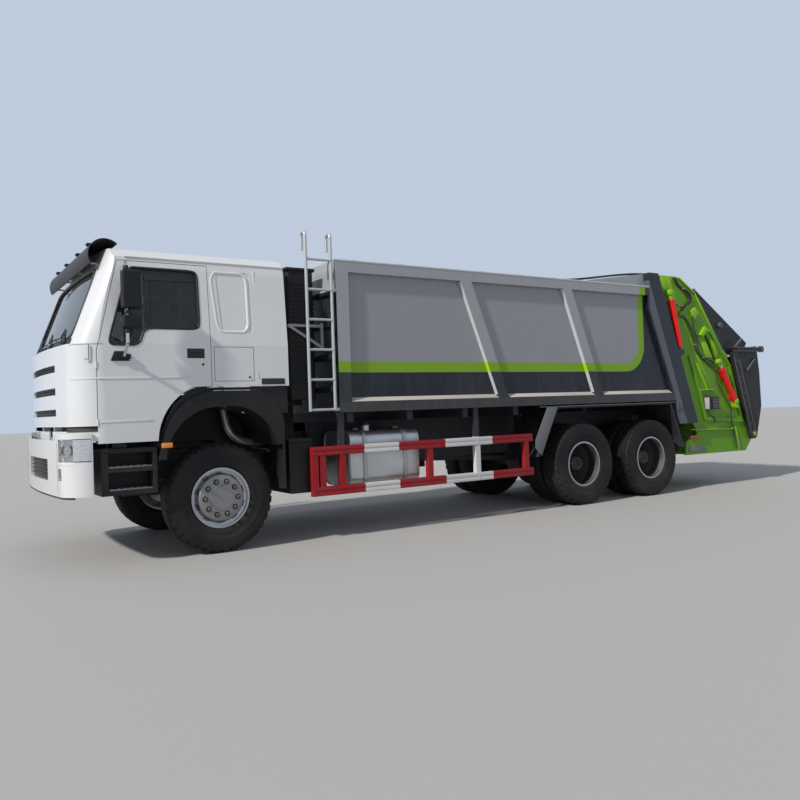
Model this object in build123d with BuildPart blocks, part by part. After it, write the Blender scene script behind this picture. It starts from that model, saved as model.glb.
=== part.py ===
"""A three-axle garbage truck with a tilting cab, a closed load body and a lifting tailgate with its hopper.

Millimetres. X points forward, Y to the truck's left, Z up. The ground is Z = 0 and X = 0 is midway
between the bumper and the back of the loader. Pieces that come in pairs are drawn on the left and mirrored.
"""

import math
import os

from build123d import *

os.makedirs("parts", exist_ok=True)

# Axles and wheels
overall_length = 10700
front_overhang = 1500
wheelbase = 5000
bogie_spacing = 1350
tyre_radius = 542.5
tyre_width = 300
front_track = 2022
rear_track = 1830
twin_spacing = 345
rim_width = 230
rim_radius = 286
rim_flange = 12
rim_wall = 9
hub_radius = 120
spindle_radius = 45
kingpin_y = 800
kingpin_radius = 24

front_axle_x = overall_length / 2 - front_overhang
rear_axle_xs = (front_axle_x - wheelbase, front_axle_x - wheelbase - bogie_spacing)
bogie_x = sum(rear_axle_xs) / 2
axle_z = tyre_radius

# Clearances
turning_gap = 0.3
seat_gap = 0.3

# Chassis frame
rail_y = 425
rail_height = 300
rail_top = 1020
rail_flange = 80
rail_web = 10
frame_front_x = front_axle_x + 1350
frame_rear_x = front_axle_x - 7000
crossmember_depth = 120
crossmember_width = 80

# Load body: side view from the front post to the slanted rear plane
body_half = 1250
body_front_x = front_axle_x - 1300
body_bottom = 1345
body_rail = 125
body_sill = 110
panel_recess = 55
body_wall = 90
floor_thick = 40
rear_top_x = front_axle_x - 6600
rear_top_z = 3190
hood_rise = 205
body_top = rear_top_z - hood_rise
rear_slope = 0.3607
rear_bottom_z = 1000
column_width = 370
column_depth = 95

# Tailgate
hinge_x = rear_top_x - 100
hinge_z = rear_top_z - 50
hinge_pin_radius = 25
tailgate_inset = 100
tailgate_half = body_half - tailgate_inset
tailgate_wall = 30
tailgate_sheet = 20
tailgate_gap = 10

# Cab
cab_half = 1248
cab_rear_x = front_axle_x - 715
cab_front_x = front_axle_x + 1450
cab_wall = 50
cab_belt_z = 2050
cab_roof_z = 2985
cab_gutter_z = 2860
cab_low_z = 1300
cab_arch_z = 1640
door_bottom_z = 1140
door_front_x = front_axle_x + 1160
door_rear_x = front_axle_x + 103
tilt_x = front_axle_x + 1350
tilt_z = 1150
bumper_front_x = front_axle_x + front_overhang
bumper_half = 1235
bumper_skin = 40
bumper_bottom = 670


def side_plane(y):
    """A sketch plane across the truck at y: sketch x is X, sketch y is Z, and extrude goes towards -Y."""
    return Plane(origin=(0, y, 0), x_dir=(1, 0, 0), z_dir=(0, -1, 0))


def rear_plane_x(z):
    """Where the load body's slanted rear plane stands at height z."""
    return rear_top_x - rear_slope * (rear_top_z - z)


def from_hinge(back, below):
    """A point in side view, given from the tailgate's hinge: how far behind it and how far below it."""
    return (hinge_x - back, hinge_z - below)


def save(piece, name):
    """Labels a finished piece and writes its STEP file."""
    piece.label = name
    export_step(piece, f"parts/{name}.step")


def block(x0, x1, y0, y1, z0, z1, mode=Mode.ADD):
    """A straight bar or plate between two corners."""
    with Locations(((x0 + x1) / 2, (y0 + y1) / 2, (z0 + z1) / 2)):
        Box(abs(x1 - x0), abs(y1 - y0), abs(z1 - z0), mode=mode)


def outline(plane, points, depth, mode=Mode.ADD):
    """A closed outline of straight edges, extruded by depth."""
    with BuildSketch(plane) as face:
        with BuildLine():
            Polyline(*points, close=True)
        make_face()
    extrude(face.sketch, amount=depth, mode=mode)


def rod_y(x, z, radius, y0, y1, mode=Mode.ADD):
    """A round bar along Y."""
    with BuildSketch(side_plane(max(y0, y1))) as face:
        with Locations((x, z)):
            Circle(radius)
    extrude(face.sketch, amount=abs(y1 - y0), mode=mode)


def rod_z(x, y, radius, z0, z1, mode=Mode.ADD):
    """A round bar along Z."""
    with BuildSketch(Plane.XY.offset(z0)) as face:
        with Locations((x, y)):
            Circle(radius)
    extrude(face.sketch, amount=z1 - z0, mode=mode)


def rod_between(start, end, radius, mode=Mode.ADD):
    """A round bar between two points."""
    start, end = Vector(*start), Vector(*end)
    with BuildSketch(Plane(origin=start, z_dir=end - start)) as face:
        Circle(radius)
    extrude(face.sketch, amount=(end - start).length, mode=mode)


# Frame rails: two channels with crossmembers, and the brackets that carry what hangs from them
spring_y = 385
spring_width = 80
front_spring_half = 760
hanger_low_z = 640
trunnion_y = 530
tank_front_x = front_axle_x - 1500
tank_rear_x = front_axle_x - 2390
tank_inner_y = 485
tank_outer_y = 1100
tank_bottom = 520
tank_top = 1130
battery_front_x = front_axle_x - 745
battery_rear_x = front_axle_x - 1010
battery_outer_y = 1130
battery_bottom = 512
battery_top = 1076
guard_front_x = front_axle_x - 960
guard_rear_x = front_axle_x - 4060
guard_low_z = 470
guard_top_z = 990
guard_rail_height = 95
guard_depth = 60
silencer_front_x = front_axle_x - 1150
silencer_rear_x = front_axle_x - 2050
guard_post_offsets = (90, 330, 1480, 2180, 2960)
step_front_x = front_axle_x + 1140
step_rear_x = front_axle_x + 640
step_inner_y = 870
step_outer_y = 1215
step_bottom = 660
step_top = 1085
fender_bar_radius = 20
fender_bar_z = 1000
fender_inner_y = 940
fender_outer_y = 1248
fender_front_x = front_axle_x + 600
fender_rear_x = front_axle_x - 600
rear_fender_bar_xs = (rear_axle_xs[0] + 660, rear_axle_xs[1] - 520)

crossmember_xs = (
    frame_front_x - crossmember_width,
    front_axle_x - 2150,
    front_axle_x - 3100,
    rear_axle_xs[0] + 700,
    bogie_x,
    frame_rear_x + crossmember_width,
)
bracket_xs = {
    "tank": (tank_front_x - 180, tank_rear_x + 180),
    "battery": ((battery_front_x + battery_rear_x) / 2,),
    "silencer": (silencer_front_x - 180, silencer_rear_x + 180),
}
with BuildPart() as frame_rails:
    for side in (1, -1):
        block(frame_rear_x, frame_front_x, side * (rail_y - rail_web), side * rail_y,
              rail_top - rail_height, rail_top)
        for low in (rail_top - rail_height, rail_top - rail_web):
            block(frame_rear_x, frame_front_x, side * (rail_y - rail_flange), side * rail_y, low,
                  low + rail_web)
        for hanger_x in (front_axle_x + front_spring_half, front_axle_x - front_spring_half):
            block(hanger_x - 40, hanger_x + 40, side * (rail_y - rail_flange), side * rail_y,
                  hanger_low_z, rail_top - rail_height)
        block(bogie_x - 110, bogie_x + 110, side * rail_y, side * trunnion_y, 770, 950)
        # cab hinge post and pin
        block(tilt_x - 45, tilt_x - 5, side * (rail_y - 50), side * rail_y, rail_top, tilt_z + 35)
        block(tilt_x - 45, tilt_x + 35, side * (rail_y - 50), side * rail_y, tilt_z - 35, tilt_z + 35)
        rod_y(tilt_x, tilt_z, 22, side * (rail_y - 120), side * (rail_y - 50))
        # front fender bars and step bracket
        for bar_x in (fender_front_x, fender_rear_x):
            rod_y(bar_x, fender_bar_z - 30, fender_bar_radius, side * rail_y, side * (fender_inner_y))
        block(step_rear_x + 200, step_front_x - 150, side * rail_y, side * step_inner_y, 800, 900)
        for bar_x in rear_fender_bar_xs:
            rod_y(bar_x, 930, fender_bar_radius, side * rail_y, side * 610)
    for middle_x in bracket_xs["tank"]:
        block(middle_x - 35, middle_x + 35, rail_y, tank_inner_y, rail_top - rail_height - 80, rail_top - 20)
    for middle_x in bracket_xs["battery"]:
        for side in (1, -1):
            block(middle_x - 90, middle_x + 90, side * rail_y, side * tank_inner_y, 760, rail_top - 20)
    for middle_x in bracket_xs["silencer"]:
        block(middle_x - 35, middle_x + 35, -tank_inner_y, -rail_y, rail_top - rail_height - 80,
              rail_top - 20)
save(frame_rails.part, "frame_rails")

with BuildPart() as frame_crossmembers:
    for member_x in crossmember_xs:
        block(member_x - crossmember_width / 2, member_x + crossmember_width / 2, rail_web - rail_y,
              rail_y - rail_web, rail_top - 30 - crossmember_depth, rail_top - 30)
save(frame_crossmembers.part, "frame_crossmembers")


# Axles: a dropped front beam between the kingpins, and two driven housings joined by their shafts
gearbox_rear_x = front_axle_x - 1850
beam_low_z = 390
beam_height = 100
beam_width = 90
axle_tube_radius = 75
axle_tube_half = 640
rear_spindle_end = rear_track / 2 + 60
diff_radius = 210
diff_half = 130
shaft_radius = 45
leaf_thick = 70
front_leaf_low_z = 555
rear_leaf_thick = 90
rear_leaf_low_z = axle_z + axle_tube_radius + 25

with BuildPart() as front_axle:
    block(front_axle_x - beam_width / 2, front_axle_x + beam_width / 2, -600, 600, beam_low_z,
          beam_low_z + beam_height)
    for side in (1, -1):
        with BuildSketch(Plane(origin=(front_axle_x - beam_width / 2, 0, 0), x_dir=(0, 1, 0),
                               z_dir=(1, 0, 0))) as arm:
            with BuildLine():
                Polyline((side * 590, beam_low_z), (side * 600, beam_low_z + beam_height),
                         (side * 740, axle_z + 45), (side * (kingpin_y + 35), axle_z + 45),
                         (side * (kingpin_y + 35), axle_z - 45), (side * (kingpin_y - 66),
                                                                  axle_z - 45), close=True)
            make_face()
        extrude(arm.sketch, amount=beam_width)
        with BuildSketch(Plane.XY.offset(axle_z - 100)) as pin:
            with Locations((front_axle_x, side * kingpin_y)):
                Circle(kingpin_radius)
        extrude(pin.sketch, amount=200)
        block(front_axle_x - 60, front_axle_x + 60, side * (spring_y - 45), side * (spring_y + 45),
              beam_low_z + beam_height, front_leaf_low_z)
save(front_axle.part, "front_axle")

with BuildPart() as rear_axles:
    for axle_x in rear_axle_xs:
        rod_y(axle_x, axle_z, axle_tube_radius, -axle_tube_half, axle_tube_half)
        rod_y(axle_x, axle_z, diff_radius, -diff_half, diff_half)
        for side in (1, -1):
            rod_y(axle_x, axle_z, spindle_radius, side * axle_tube_half, side * rear_spindle_end)
            block(axle_x - 70, axle_x + 70, side * (rail_y + 20), side * (trunnion_y - 10),
                  axle_z, rear_leaf_low_z)
    rod_between((rear_axle_xs[0], 0, axle_z + 40), (rear_axle_xs[1], 0, axle_z + 40), shaft_radius)
    rod_between((rear_axle_xs[0], 0, axle_z + 60), (gearbox_rear_x, 0, axle_z + 235), shaft_radius)
save(rear_axles.part, "rear_axles")

with BuildPart() as leaf_springs:
    for side in (1, -1):
        with BuildSketch(side_plane(side * spring_y + spring_width / 2)) as leaf:
            with BuildLine():
                low = ThreePointArc((front_axle_x - front_spring_half, hanger_low_z - leaf_thick),
                                    (front_axle_x, front_leaf_low_z),
                                    (front_axle_x + front_spring_half, hanger_low_z - leaf_thick))
                Line(low @ 1, (front_axle_x + front_spring_half, hanger_low_z))
                ThreePointArc((front_axle_x + front_spring_half, hanger_low_z),
                              (front_axle_x, front_leaf_low_z + leaf_thick),
                              (front_axle_x - front_spring_half, hanger_low_z))
                Line((front_axle_x - front_spring_half, hanger_low_z), low @ 0)
            make_face()
        extrude(leaf.sketch, amount=spring_width)
        with BuildSketch(side_plane(side * (rail_y + trunnion_y) / 2 + 38)) as rear_leaf:
            with BuildLine():
                Polyline((rear_axle_xs[0] + 80, rear_leaf_low_z),
                         (rear_axle_xs[0] + 80, rear_leaf_low_z + 40),
                         (bogie_x + 110, 770), (bogie_x - 110, 770),
                         (rear_axle_xs[1] - 80, rear_leaf_low_z + 40), (rear_axle_xs[1] - 80,
                                                                        rear_leaf_low_z),
                         (rear_axle_xs[1] + 80, rear_leaf_low_z), (bogie_x - 110, 770 - rear_leaf_thick),
                         (bogie_x + 110, 770 - rear_leaf_thick), (rear_axle_xs[0] - 80,
                                                                  rear_leaf_low_z), close=True)
            make_face()
        extrude(rear_leaf.sketch, amount=76)
save(leaf_springs.part, "leaf_springs")

# Engine and gearbox: plain blocks under the cab, between the frame rails
engine_front_x = front_axle_x + 700
engine_rear_x = front_axle_x - 560
engine_hump_x = front_axle_x + 380
engine_half = 320
engine_low_half = 250
with BuildPart() as engine:
    block(engine_rear_x, engine_hump_x, -engine_half, engine_half, cab_low_z - 60, cab_arch_z - 90)
    block(engine_rear_x, engine_front_x, -engine_half, engine_half, rail_top + 10, cab_low_z - 60)
    block(engine_rear_x, engine_front_x, -engine_low_half, engine_low_half, rail_top - 220, rail_top + 10)
    for side in (1, -1):
        block(front_axle_x - 250, front_axle_x - 50, side * engine_low_half, side * (rail_y - rail_flange),
              rail_top - 180, rail_top - 60)
save(engine.part, "engine_block")

with BuildPart() as gearbox:
    block(gearbox_rear_x, engine_rear_x, -190, 190, rail_top - 240, rail_top + 110)
save(gearbox.part, "gearbox")

# Fuel tank with its two straps, on the left
tank_round = 110
strap_width = 55
strap_proud = 6
with BuildPart() as fuel_tank:
    with BuildSketch(Plane(origin=(tank_rear_x, 0, 0), x_dir=(0, 1, 0), z_dir=(1, 0, 0))):
        with Locations(((tank_inner_y + tank_outer_y) / 2, (tank_bottom + tank_top) / 2)):
            RectangleRounded(tank_outer_y - tank_inner_y, tank_top - tank_bottom, tank_round)
    extrude(amount=tank_front_x - tank_rear_x)
    for strap_x in bracket_xs["tank"]:
        with BuildSketch(Plane(origin=(strap_x - strap_width / 2, 0, 0), x_dir=(0, 1, 0),
                               z_dir=(1, 0, 0))) as strap:
            with Locations(((tank_inner_y + tank_outer_y + strap_proud) / 2, (tank_bottom + tank_top) / 2)):
                RectangleRounded(tank_outer_y - tank_inner_y + strap_proud,
                                 tank_top - tank_bottom + 2 * strap_proud, tank_round)
        extrude(strap.sketch, amount=strap_width)
    with BuildSketch(Plane.XY.offset(tank_top - 5)):
        with Locations((tank_front_x - 300, tank_outer_y - 190)):
            Circle(48)
    extrude(amount=55)
save(fuel_tank.part, "fuel_tank")

# Battery box on the left, and two air tanks on the right
air_tank_radius = 130
with BuildPart() as battery_box:
    block(battery_rear_x, battery_front_x, tank_inner_y, battery_outer_y, battery_bottom, battery_top)
    fillet(battery_box.edges().filter_by(Axis.Y), radius=18)
    for tank_z in (660, 935):
        rod_y((battery_front_x + battery_rear_x) / 2, tank_z, air_tank_radius, -battery_outer_y,
              -tank_inner_y - seat_gap)
save(battery_box.part, "battery_and_air_tanks")

# Silencer box on the right
with BuildPart() as silencer:
    block(silencer_rear_x, silencer_front_x, -1090, -tank_inner_y, tank_bottom, tank_top - 60)
    fillet(silencer.edges().filter_by(Axis.X), radius=60)
save(silencer.part, "silencer_box")

# Side guards: two long rails on posts, with stays up to the sill
guard_outer_y = body_half - 15
with BuildPart() as side_guards:
    for side in (1, -1):
        face_y = side * guard_outer_y
        back_y = side * (guard_outer_y - guard_depth)
        for rail_z in (guard_low_z, guard_top_z - guard_rail_height):
            block(guard_rear_x, guard_front_x, back_y, face_y, rail_z, rail_z + guard_rail_height)
        for post_offset in (0, *guard_post_offsets):
            post_x = guard_front_x - post_offset
            block(post_x - 70, post_x, back_y, face_y, guard_low_z, guard_top_z)
        for stay_offset in (330, 2180):
            stay_x = guard_front_x - stay_offset
            block(stay_x - 70, stay_x, side * (guard_outer_y - guard_depth), side * (guard_outer_y - 20),
                  guard_top_z, body_bottom)
save(side_guards.part, "side_guards")

# Step boxes under the doors: a black hollow box with two treads
with BuildPart() as step_boxes:
    for side in (1, -1):
        low_y, high_y = sorted((side * step_inner_y, side * step_outer_y))
        block(step_rear_x, step_front_x, low_y, high_y, step_bottom, step_top)
        for tread_z, tread_height in ((step_bottom + 45, 165), (step_bottom + 250, 135)):
            block(step_rear_x + 40, step_front_x - 60, side * (step_outer_y - 190), side * (step_outer_y + 1),
                  tread_z, tread_z + tread_height, mode=Mode.SUBTRACT)
save(step_boxes.part, "step_boxes")

# Front fenders: an arched flare over each front wheel with its inner skin and a mudflap
arch_clear = 900
arch_top_z = 1600
flap_low_z = 590
with BuildPart() as front_fenders:
    for side in (1, -1):
        outer_y = max(side * fender_outer_y, side * fender_inner_y)
        with BuildSketch(side_plane(outer_y)) as flare:
            with BuildLine():
                outer_arc = ThreePointArc((front_axle_x + 575, 1165), (front_axle_x + 420, 1450),
                                          (front_axle_x + 60, arch_top_z))
                Line(outer_arc @ 1, (front_axle_x - 360, arch_top_z))
                back_arc = ThreePointArc((front_axle_x - 360, arch_top_z), (front_axle_x - 580, 1450),
                                         (front_axle_x - 650, 1230))
                Polyline(back_arc @ 1, (front_axle_x - 650, flap_low_z), (front_axle_x - 625, flap_low_z),
                         (front_axle_x - 625, 1040), (front_axle_x - 560, 1040))
                ThreePointArc((front_axle_x - 560, 1040), (front_axle_x - 400, 1330),
                                           (front_axle_x, axle_z + arch_clear))
                inner_front = ThreePointArc((front_axle_x, axle_z + arch_clear), (front_axle_x + 390, 1310),
                                            (front_axle_x + 560, 960))
                Polyline(inner_front @ 1, (front_axle_x + 632, 960), outer_arc @ 0)
            make_face()
        extrude(flare.sketch, amount=fender_outer_y - fender_inner_y)
save(front_fenders.part, "front_fenders")

# Rear fenders: a flat roof over both rear wheels with two slanted legs, and an inner splash plate
rear_fender_inner_y = 610
rear_fender_outer_y = body_half - 15
fender_sheet = 25
fender_roof_z = body_bottom - 25
with BuildPart() as rear_fenders:
    for side in (1, -1):
        outer_y = max(side * rear_fender_outer_y, side * rear_fender_inner_y)
        leg_front_x = rear_axle_xs[0] + 870
        leg_rear_x = rear_axle_xs[1] - 710
        with BuildSketch(side_plane(outer_y)) as sheet:
            with BuildLine():
                Polyline((leg_front_x, 690), (leg_front_x - 380, fender_roof_z),
                         (leg_rear_x + 270, fender_roof_z),
                         (leg_rear_x, 660), (leg_rear_x + 30, 660), (leg_rear_x + 290,
                                                                     fender_roof_z - fender_sheet),
                         (leg_front_x - 400, fender_roof_z - fender_sheet), (leg_front_x - 35,
                                                                             690), close=True)
            make_face()
        extrude(sheet.sketch, amount=rear_fender_outer_y - rear_fender_inner_y)
        for bar_x in rear_fender_bar_xs:
            block(bar_x - 40, bar_x + 40, side * 610, side * 640, 900, 1300)
save(rear_fenders.part, "rear_fenders")


# Front bumper: a skin bent round the front, with openings for lamps and air
bumper_rear_x = front_axle_x + 1210
bumper_top_middle = 1180
bumper_top_corner = 1235
bumper_corner_y = 930
bumper_corner = (275, 46, 235)
lamp_gap = 1
head_lamp = (975, 1195, 985, 1190)
fog_lamp = (960, 1045, 818, 925)
air_mouth = (-560, 560, 800, 1000)


def nose_plan(plane, front_x, rear_x, half, corner, inset):
    """The outline seen from above of the bumper or the cab's front: a bowed front with rounded corners.

    corner is how far behind the front the rounding starts, then how far back and in its front end lies.
    """
    reach, bend_back, bend_in = corner
    start_x, bend_x, bend_y = front_x - reach, front_x - bend_back, half - bend_in
    middle_x, middle_y = bend_x - (bend_x - start_x) / 3, half - 0.3 * bend_in
    with BuildSketch(plane) as plan:
        with BuildLine():
            ThreePointArc((start_x, half), (middle_x, middle_y), (bend_x, bend_y))
            ThreePointArc((bend_x, bend_y), (front_x, 0), (bend_x, -bend_y))
            ThreePointArc((bend_x, -bend_y), (middle_x, -middle_y), (start_x, -half))
            Polyline((start_x, -half), (rear_x, -half), (rear_x, half), (start_x, half))
        make_face()
        if inset:
            offset(amount=-inset, kind=Kind.INTERSECTION)
    return plan.sketch


def front_window(box, gap=0):
    """A rectangle facing forward, given as lowest and highest Y and Z, shrunk by gap on each edge."""
    y0, y1, z0, z1 = box
    with BuildSketch(Plane(origin=(front_axle_x + 900, 0, 0), x_dir=(0, 1, 0), z_dir=(1, 0, 0))) as window:
        with Locations(((y0 + y1) / 2, (z0 + z1) / 2)):
            Rectangle(y1 - y0 - 2 * gap, z1 - z0 - 2 * gap)
    return window.sketch


def mirrored(box):
    """The same rectangle on the truck's other side."""
    return (-box[1], -box[0], box[2], box[3])


def bumper_ring():
    """The bumper's bent skin before its openings are cut."""
    with BuildPart() as ring:
        height = bumper_top_corner - bumper_bottom
        floor = Plane.XY.offset(bumper_bottom)
        rear_x = bumper_rear_x - bumper_skin - 1
        extrude(nose_plan(floor, bumper_front_x, rear_x, bumper_half, bumper_corner, 0), amount=height)
        extrude(nose_plan(floor, bumper_front_x, rear_x, bumper_half, bumper_corner, bumper_skin),
                amount=height,
                mode=Mode.SUBTRACT)
        block(rear_x - 1, bumper_rear_x, -bumper_half - 1, bumper_half + 1, bumper_bottom - 1,
              bumper_top_corner + 1,
              mode=Mode.SUBTRACT)
    return ring.part


with BuildPart() as front_bumper:
    add(bumper_ring())
    block(bumper_rear_x, bumper_front_x, -bumper_corner_y, bumper_corner_y, bumper_top_middle,
          bumper_top_corner + 1,
          mode=Mode.SUBTRACT)
    for opening in (head_lamp, mirrored(head_lamp), fog_lamp, mirrored(fog_lamp), air_mouth):
        extrude(front_window(opening), amount=700, mode=Mode.SUBTRACT)
    for side in (1, -1):
        block(frame_front_x, bumper_front_x - bumper_skin - 5, side * (rail_y - 70), side * (rail_y - 10),
              780, 960)
save(front_bumper.part, "front_bumper")

with BuildPart() as lamps:
    for opening in (head_lamp, mirrored(head_lamp), fog_lamp, mirrored(fog_lamp)):
        with BuildPart(mode=Mode.PRIVATE) as lens:
            extrude(front_window(opening, lamp_gap * 0.3), amount=700)
            add(bumper_ring(), mode=Mode.INTERSECT)
        add(lens.part)
save(lamps.part, "front_lamps")

# Air intake stack behind the cab, with its foot on the frame
intake_front_x = front_axle_x - 860
intake_rear_x = front_axle_x - 1180
intake_low_z = 1500
intake_top_z = body_top - 85
with BuildPart() as air_intake:
    block(intake_rear_x, intake_front_x, 560, 960, intake_low_z, intake_top_z)
    fillet(air_intake.edges().filter_by(Axis.Z), radius=40)
    block(intake_rear_x + 60, intake_front_x - 60, rail_y - 70, rail_y + 40, rail_top, intake_low_z)
    block(intake_rear_x + 60, intake_front_x - 60, rail_y, 700, intake_low_z - 60, intake_low_z)
save(air_intake.part, "air_intake")

# Wheels: a rim with its dished disc and hub, and a tyre round it. Each is drawn as half sections in
# (distance outward along the axle, radius) and spun about the axle.
bead_half = rim_width / 2 - 15
disc_thick = 14
tread_edge = 90
hub_bore = spindle_radius + turning_gap


def spun(centre_x, side, points, mode=Mode.ADD):
    """A half section of (outward distance from the truck's middle, radius) spun about the axle."""
    plane = Plane(origin=(centre_x, 0, axle_z), x_dir=(0, side, 0), z_dir=(side, 0, 0))
    with BuildSketch(plane) as section:
        with BuildLine():
            Polyline(*points, close=True)
        make_face()
    revolve(section.sketch, axis=Axis((centre_x, 0, axle_z), (0, 1, 0)), mode=mode)


def tyre(centre_x, middle, side):
    """One tyre: flat tread, chamfered shoulders and sides that bulge out over the rim."""
    half = tyre_width / 2
    right_half = ((bead_half, rim_radius), (bead_half + 3, rim_radius + 18),
                  (bead_half + 22, rim_radius + 26),
                  (half, tyre_radius - 125), (half - 6, tyre_radius - 50), (half - 28, tyre_radius - 8),
                  (tread_edge, tyre_radius))
    left_half = tuple((-out, radius) for out, radius in reversed(right_half))
    spun(centre_x, side, [(middle + out, radius) for out, radius in right_half + left_half])


def rim(centre_x, middle, side, disc_root, disc_plane):
    """One rim: the barrel with its two flanges, and the dished disc from disc_root to disc_plane."""
    lip = rim_width / 2
    inner = rim_radius - rim_wall
    flange = rim_radius + rim_flange
    barrel = ((-lip, inner), (-lip, flange), (10 - lip, flange), (12 - lip, rim_radius),
              (lip - 12, rim_radius),
              (lip - 10, flange), (lip, flange), (lip, inner))
    spun(centre_x, side, [(middle + out, radius) for out, radius in barrel])
    back = math.copysign(disc_thick, disc_root - disc_plane)
    dish = ((disc_root, inner + 1), (disc_plane + back / 2, hub_radius + 80), (disc_plane, hub_radius + 60),
            (disc_plane, hub_bore), (disc_plane - back, hub_bore), (disc_plane - back, hub_radius + 64),
            (disc_root - back * 1.6, inner + 1))
    spun(centre_x, side, [(middle + out, radius) for out, radius in dish])


# distances outward from the middle of the front tyre
front_disc = 62
front_hub_end = 118
front_spindle_end = 70
drum_radius = 200
front_drum = (-122, -20)
front_middle = front_track / 2
for side, word in ((1, "left"), (-1, "right")):
    with BuildPart() as front_rim:
        rim(front_axle_x, front_middle, side, 84, front_disc)
        spun(front_axle_x, side, ((front_middle + front_drum[0], drum_radius),
                                  (front_middle + front_drum[1], drum_radius),
                                  (front_middle + front_disc, hub_radius + 10), (front_middle + 96,
                                                                                 hub_radius),
                                  (front_middle + front_hub_end,
                                   hub_radius - 22), (front_middle + front_hub_end, 0),
                                  (front_middle + front_spindle_end + 5, 0),
                                  (front_middle + front_spindle_end + 5, hub_bore),
                                  (front_middle + front_drum[0], hub_bore)))
    save(front_rim.part, f"front_rim_{word}")
    with BuildPart() as front_tyre:
        tyre(front_axle_x, front_middle, side)
    save(front_tyre.part, f"front_tyre_{word}")

# Steering knuckles: a fork round the beam's end that turns on the kingpin, with the wheel's spindle
fork_inner = kingpin_y - 40
fork_web = (kingpin_y + 66, kingpin_y + 82)
fork_ear = (50, 92)
fork_half_width = 44
for side, word in ((1, "left"), (-1, "right")):
    with BuildPart() as knuckle:
        for low in (fork_ear[0], -fork_ear[1]):
            block(front_axle_x - fork_half_width, front_axle_x + fork_half_width, side * fork_inner,
                  side * fork_web[1], axle_z + low, axle_z + low + fork_ear[1] - fork_ear[0])
        block(front_axle_x - fork_half_width, front_axle_x + fork_half_width, side * fork_web[0],
              side * fork_web[1], axle_z - fork_ear[1], axle_z + fork_ear[1])
        rod_y(front_axle_x, axle_z, spindle_radius, side * fork_web[1],
              side * (front_middle + front_spindle_end))
        with BuildSketch(Plane.XY.offset(axle_z - 110)) as kingpin_hole:
            with Locations((front_axle_x, side * kingpin_y)):
                Circle(kingpin_radius + turning_gap)
        extrude(kingpin_hole.sketch, amount=220, mode=Mode.SUBTRACT)
    save(knuckle.part, f"knuckle_{word}")

# Rear twin wheels: two rims back to back on one hub with its brake drum, and their two tyres
twin_middles = (rear_track / 2 + twin_spacing / 2, rear_track / 2 - twin_spacing / 2)
rear_hub_inner = axle_tube_half + 20
rear_hub_end = rear_track / 2 + 165
for number, axle_x in enumerate(rear_axle_xs, 1):
    for side, word in ((1, "left"), (-1, "right")):
        with BuildPart() as rear_rims:
            rim(axle_x, twin_middles[0], side, -70, -twin_spacing / 2)
            rim(axle_x, twin_middles[1], side, 70, twin_spacing / 2)
            spun(axle_x, side, ((rear_hub_inner, drum_radius), (rear_hub_inner + 150, drum_radius),
                                (rear_hub_inner + 165, hub_radius + 20), (rear_track / 2, hub_radius + 20),
                                (rear_track / 2 + 16, hub_radius), (rear_hub_end - 25, hub_radius - 15),
                                (rear_hub_end, hub_radius - 40), (rear_hub_end, 0), (rear_spindle_end + 5, 0),
                                (rear_spindle_end + 5, hub_bore), (rear_hub_inner, hub_bore)))
        save(rear_rims.part, f"rear_rims_{number}_{word}")
        with BuildPart() as rear_tyres:
            for middle in twin_middles:
                tyre(axle_x, middle, side)
        save(rear_tyres.part, f"rear_tyres_{number}_{word}")

# Subframe: two long beams on the frame rails, with the cross bearers that reach out to the body's sills
beam_outer_y = rail_y
beam_inner_y = rail_y - 80
bearer_height = 110
bearer_width = 80
long_bearer = body_half - 70
short_bearer = 600
# how far behind the body's front each bearer stands, and its half length
bearers = ((120, long_bearer), (900, long_bearer), (1700, long_bearer), (2500, long_bearer),
           (3330, short_bearer),
           (4330, short_bearer), (5450, short_bearer))
with BuildPart() as subframe:
    for side in (1, -1):
        block(frame_rear_x + 105, body_front_x - 20, side * beam_inner_y, side * beam_outer_y, rail_top,
              body_bottom - bearer_height)
save(subframe.part, "subframe")

with BuildPart() as body_bearers:
    for bearer_offset, bearer_half in bearers:
        bearer_x = body_front_x - bearer_offset
        block(bearer_x - bearer_width, bearer_x, -bearer_half, bearer_half, body_bottom - bearer_height,
              body_bottom)
save(body_bearers.part, "body_bearers")

# Load body: side walls pressed between a front post, two slanted ribs and the rear frame, with a floor,
# a roof and a front bulkhead, open at its slanted rear
pocket_top = body_top - body_rail
pocket_bottom = body_bottom + body_sill
rib_slope = 0.38
rib_width = 160
rib_tops = (body_front_x - 1690, body_front_x - 3375)
post_width = 150
column_bend_z = body_top - 325
column_bend_x = rear_top_x + 210
column_foot_x = rear_top_x - 265


def rib_x(top_x, z):
    """The front edge of a slanted rib at height z."""
    return top_x - rib_slope * (pocket_top - z)


def body_side_points():
    """The load body's side view inside the rear frame's columns."""
    return ((body_front_x, body_bottom), (body_front_x, body_top), (column_bend_x + seat_gap, body_top),
            (column_bend_x + seat_gap, column_bend_z), (column_foot_x + seat_gap, pocket_bottom),
            (column_foot_x + seat_gap - 35, body_bottom))


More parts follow.
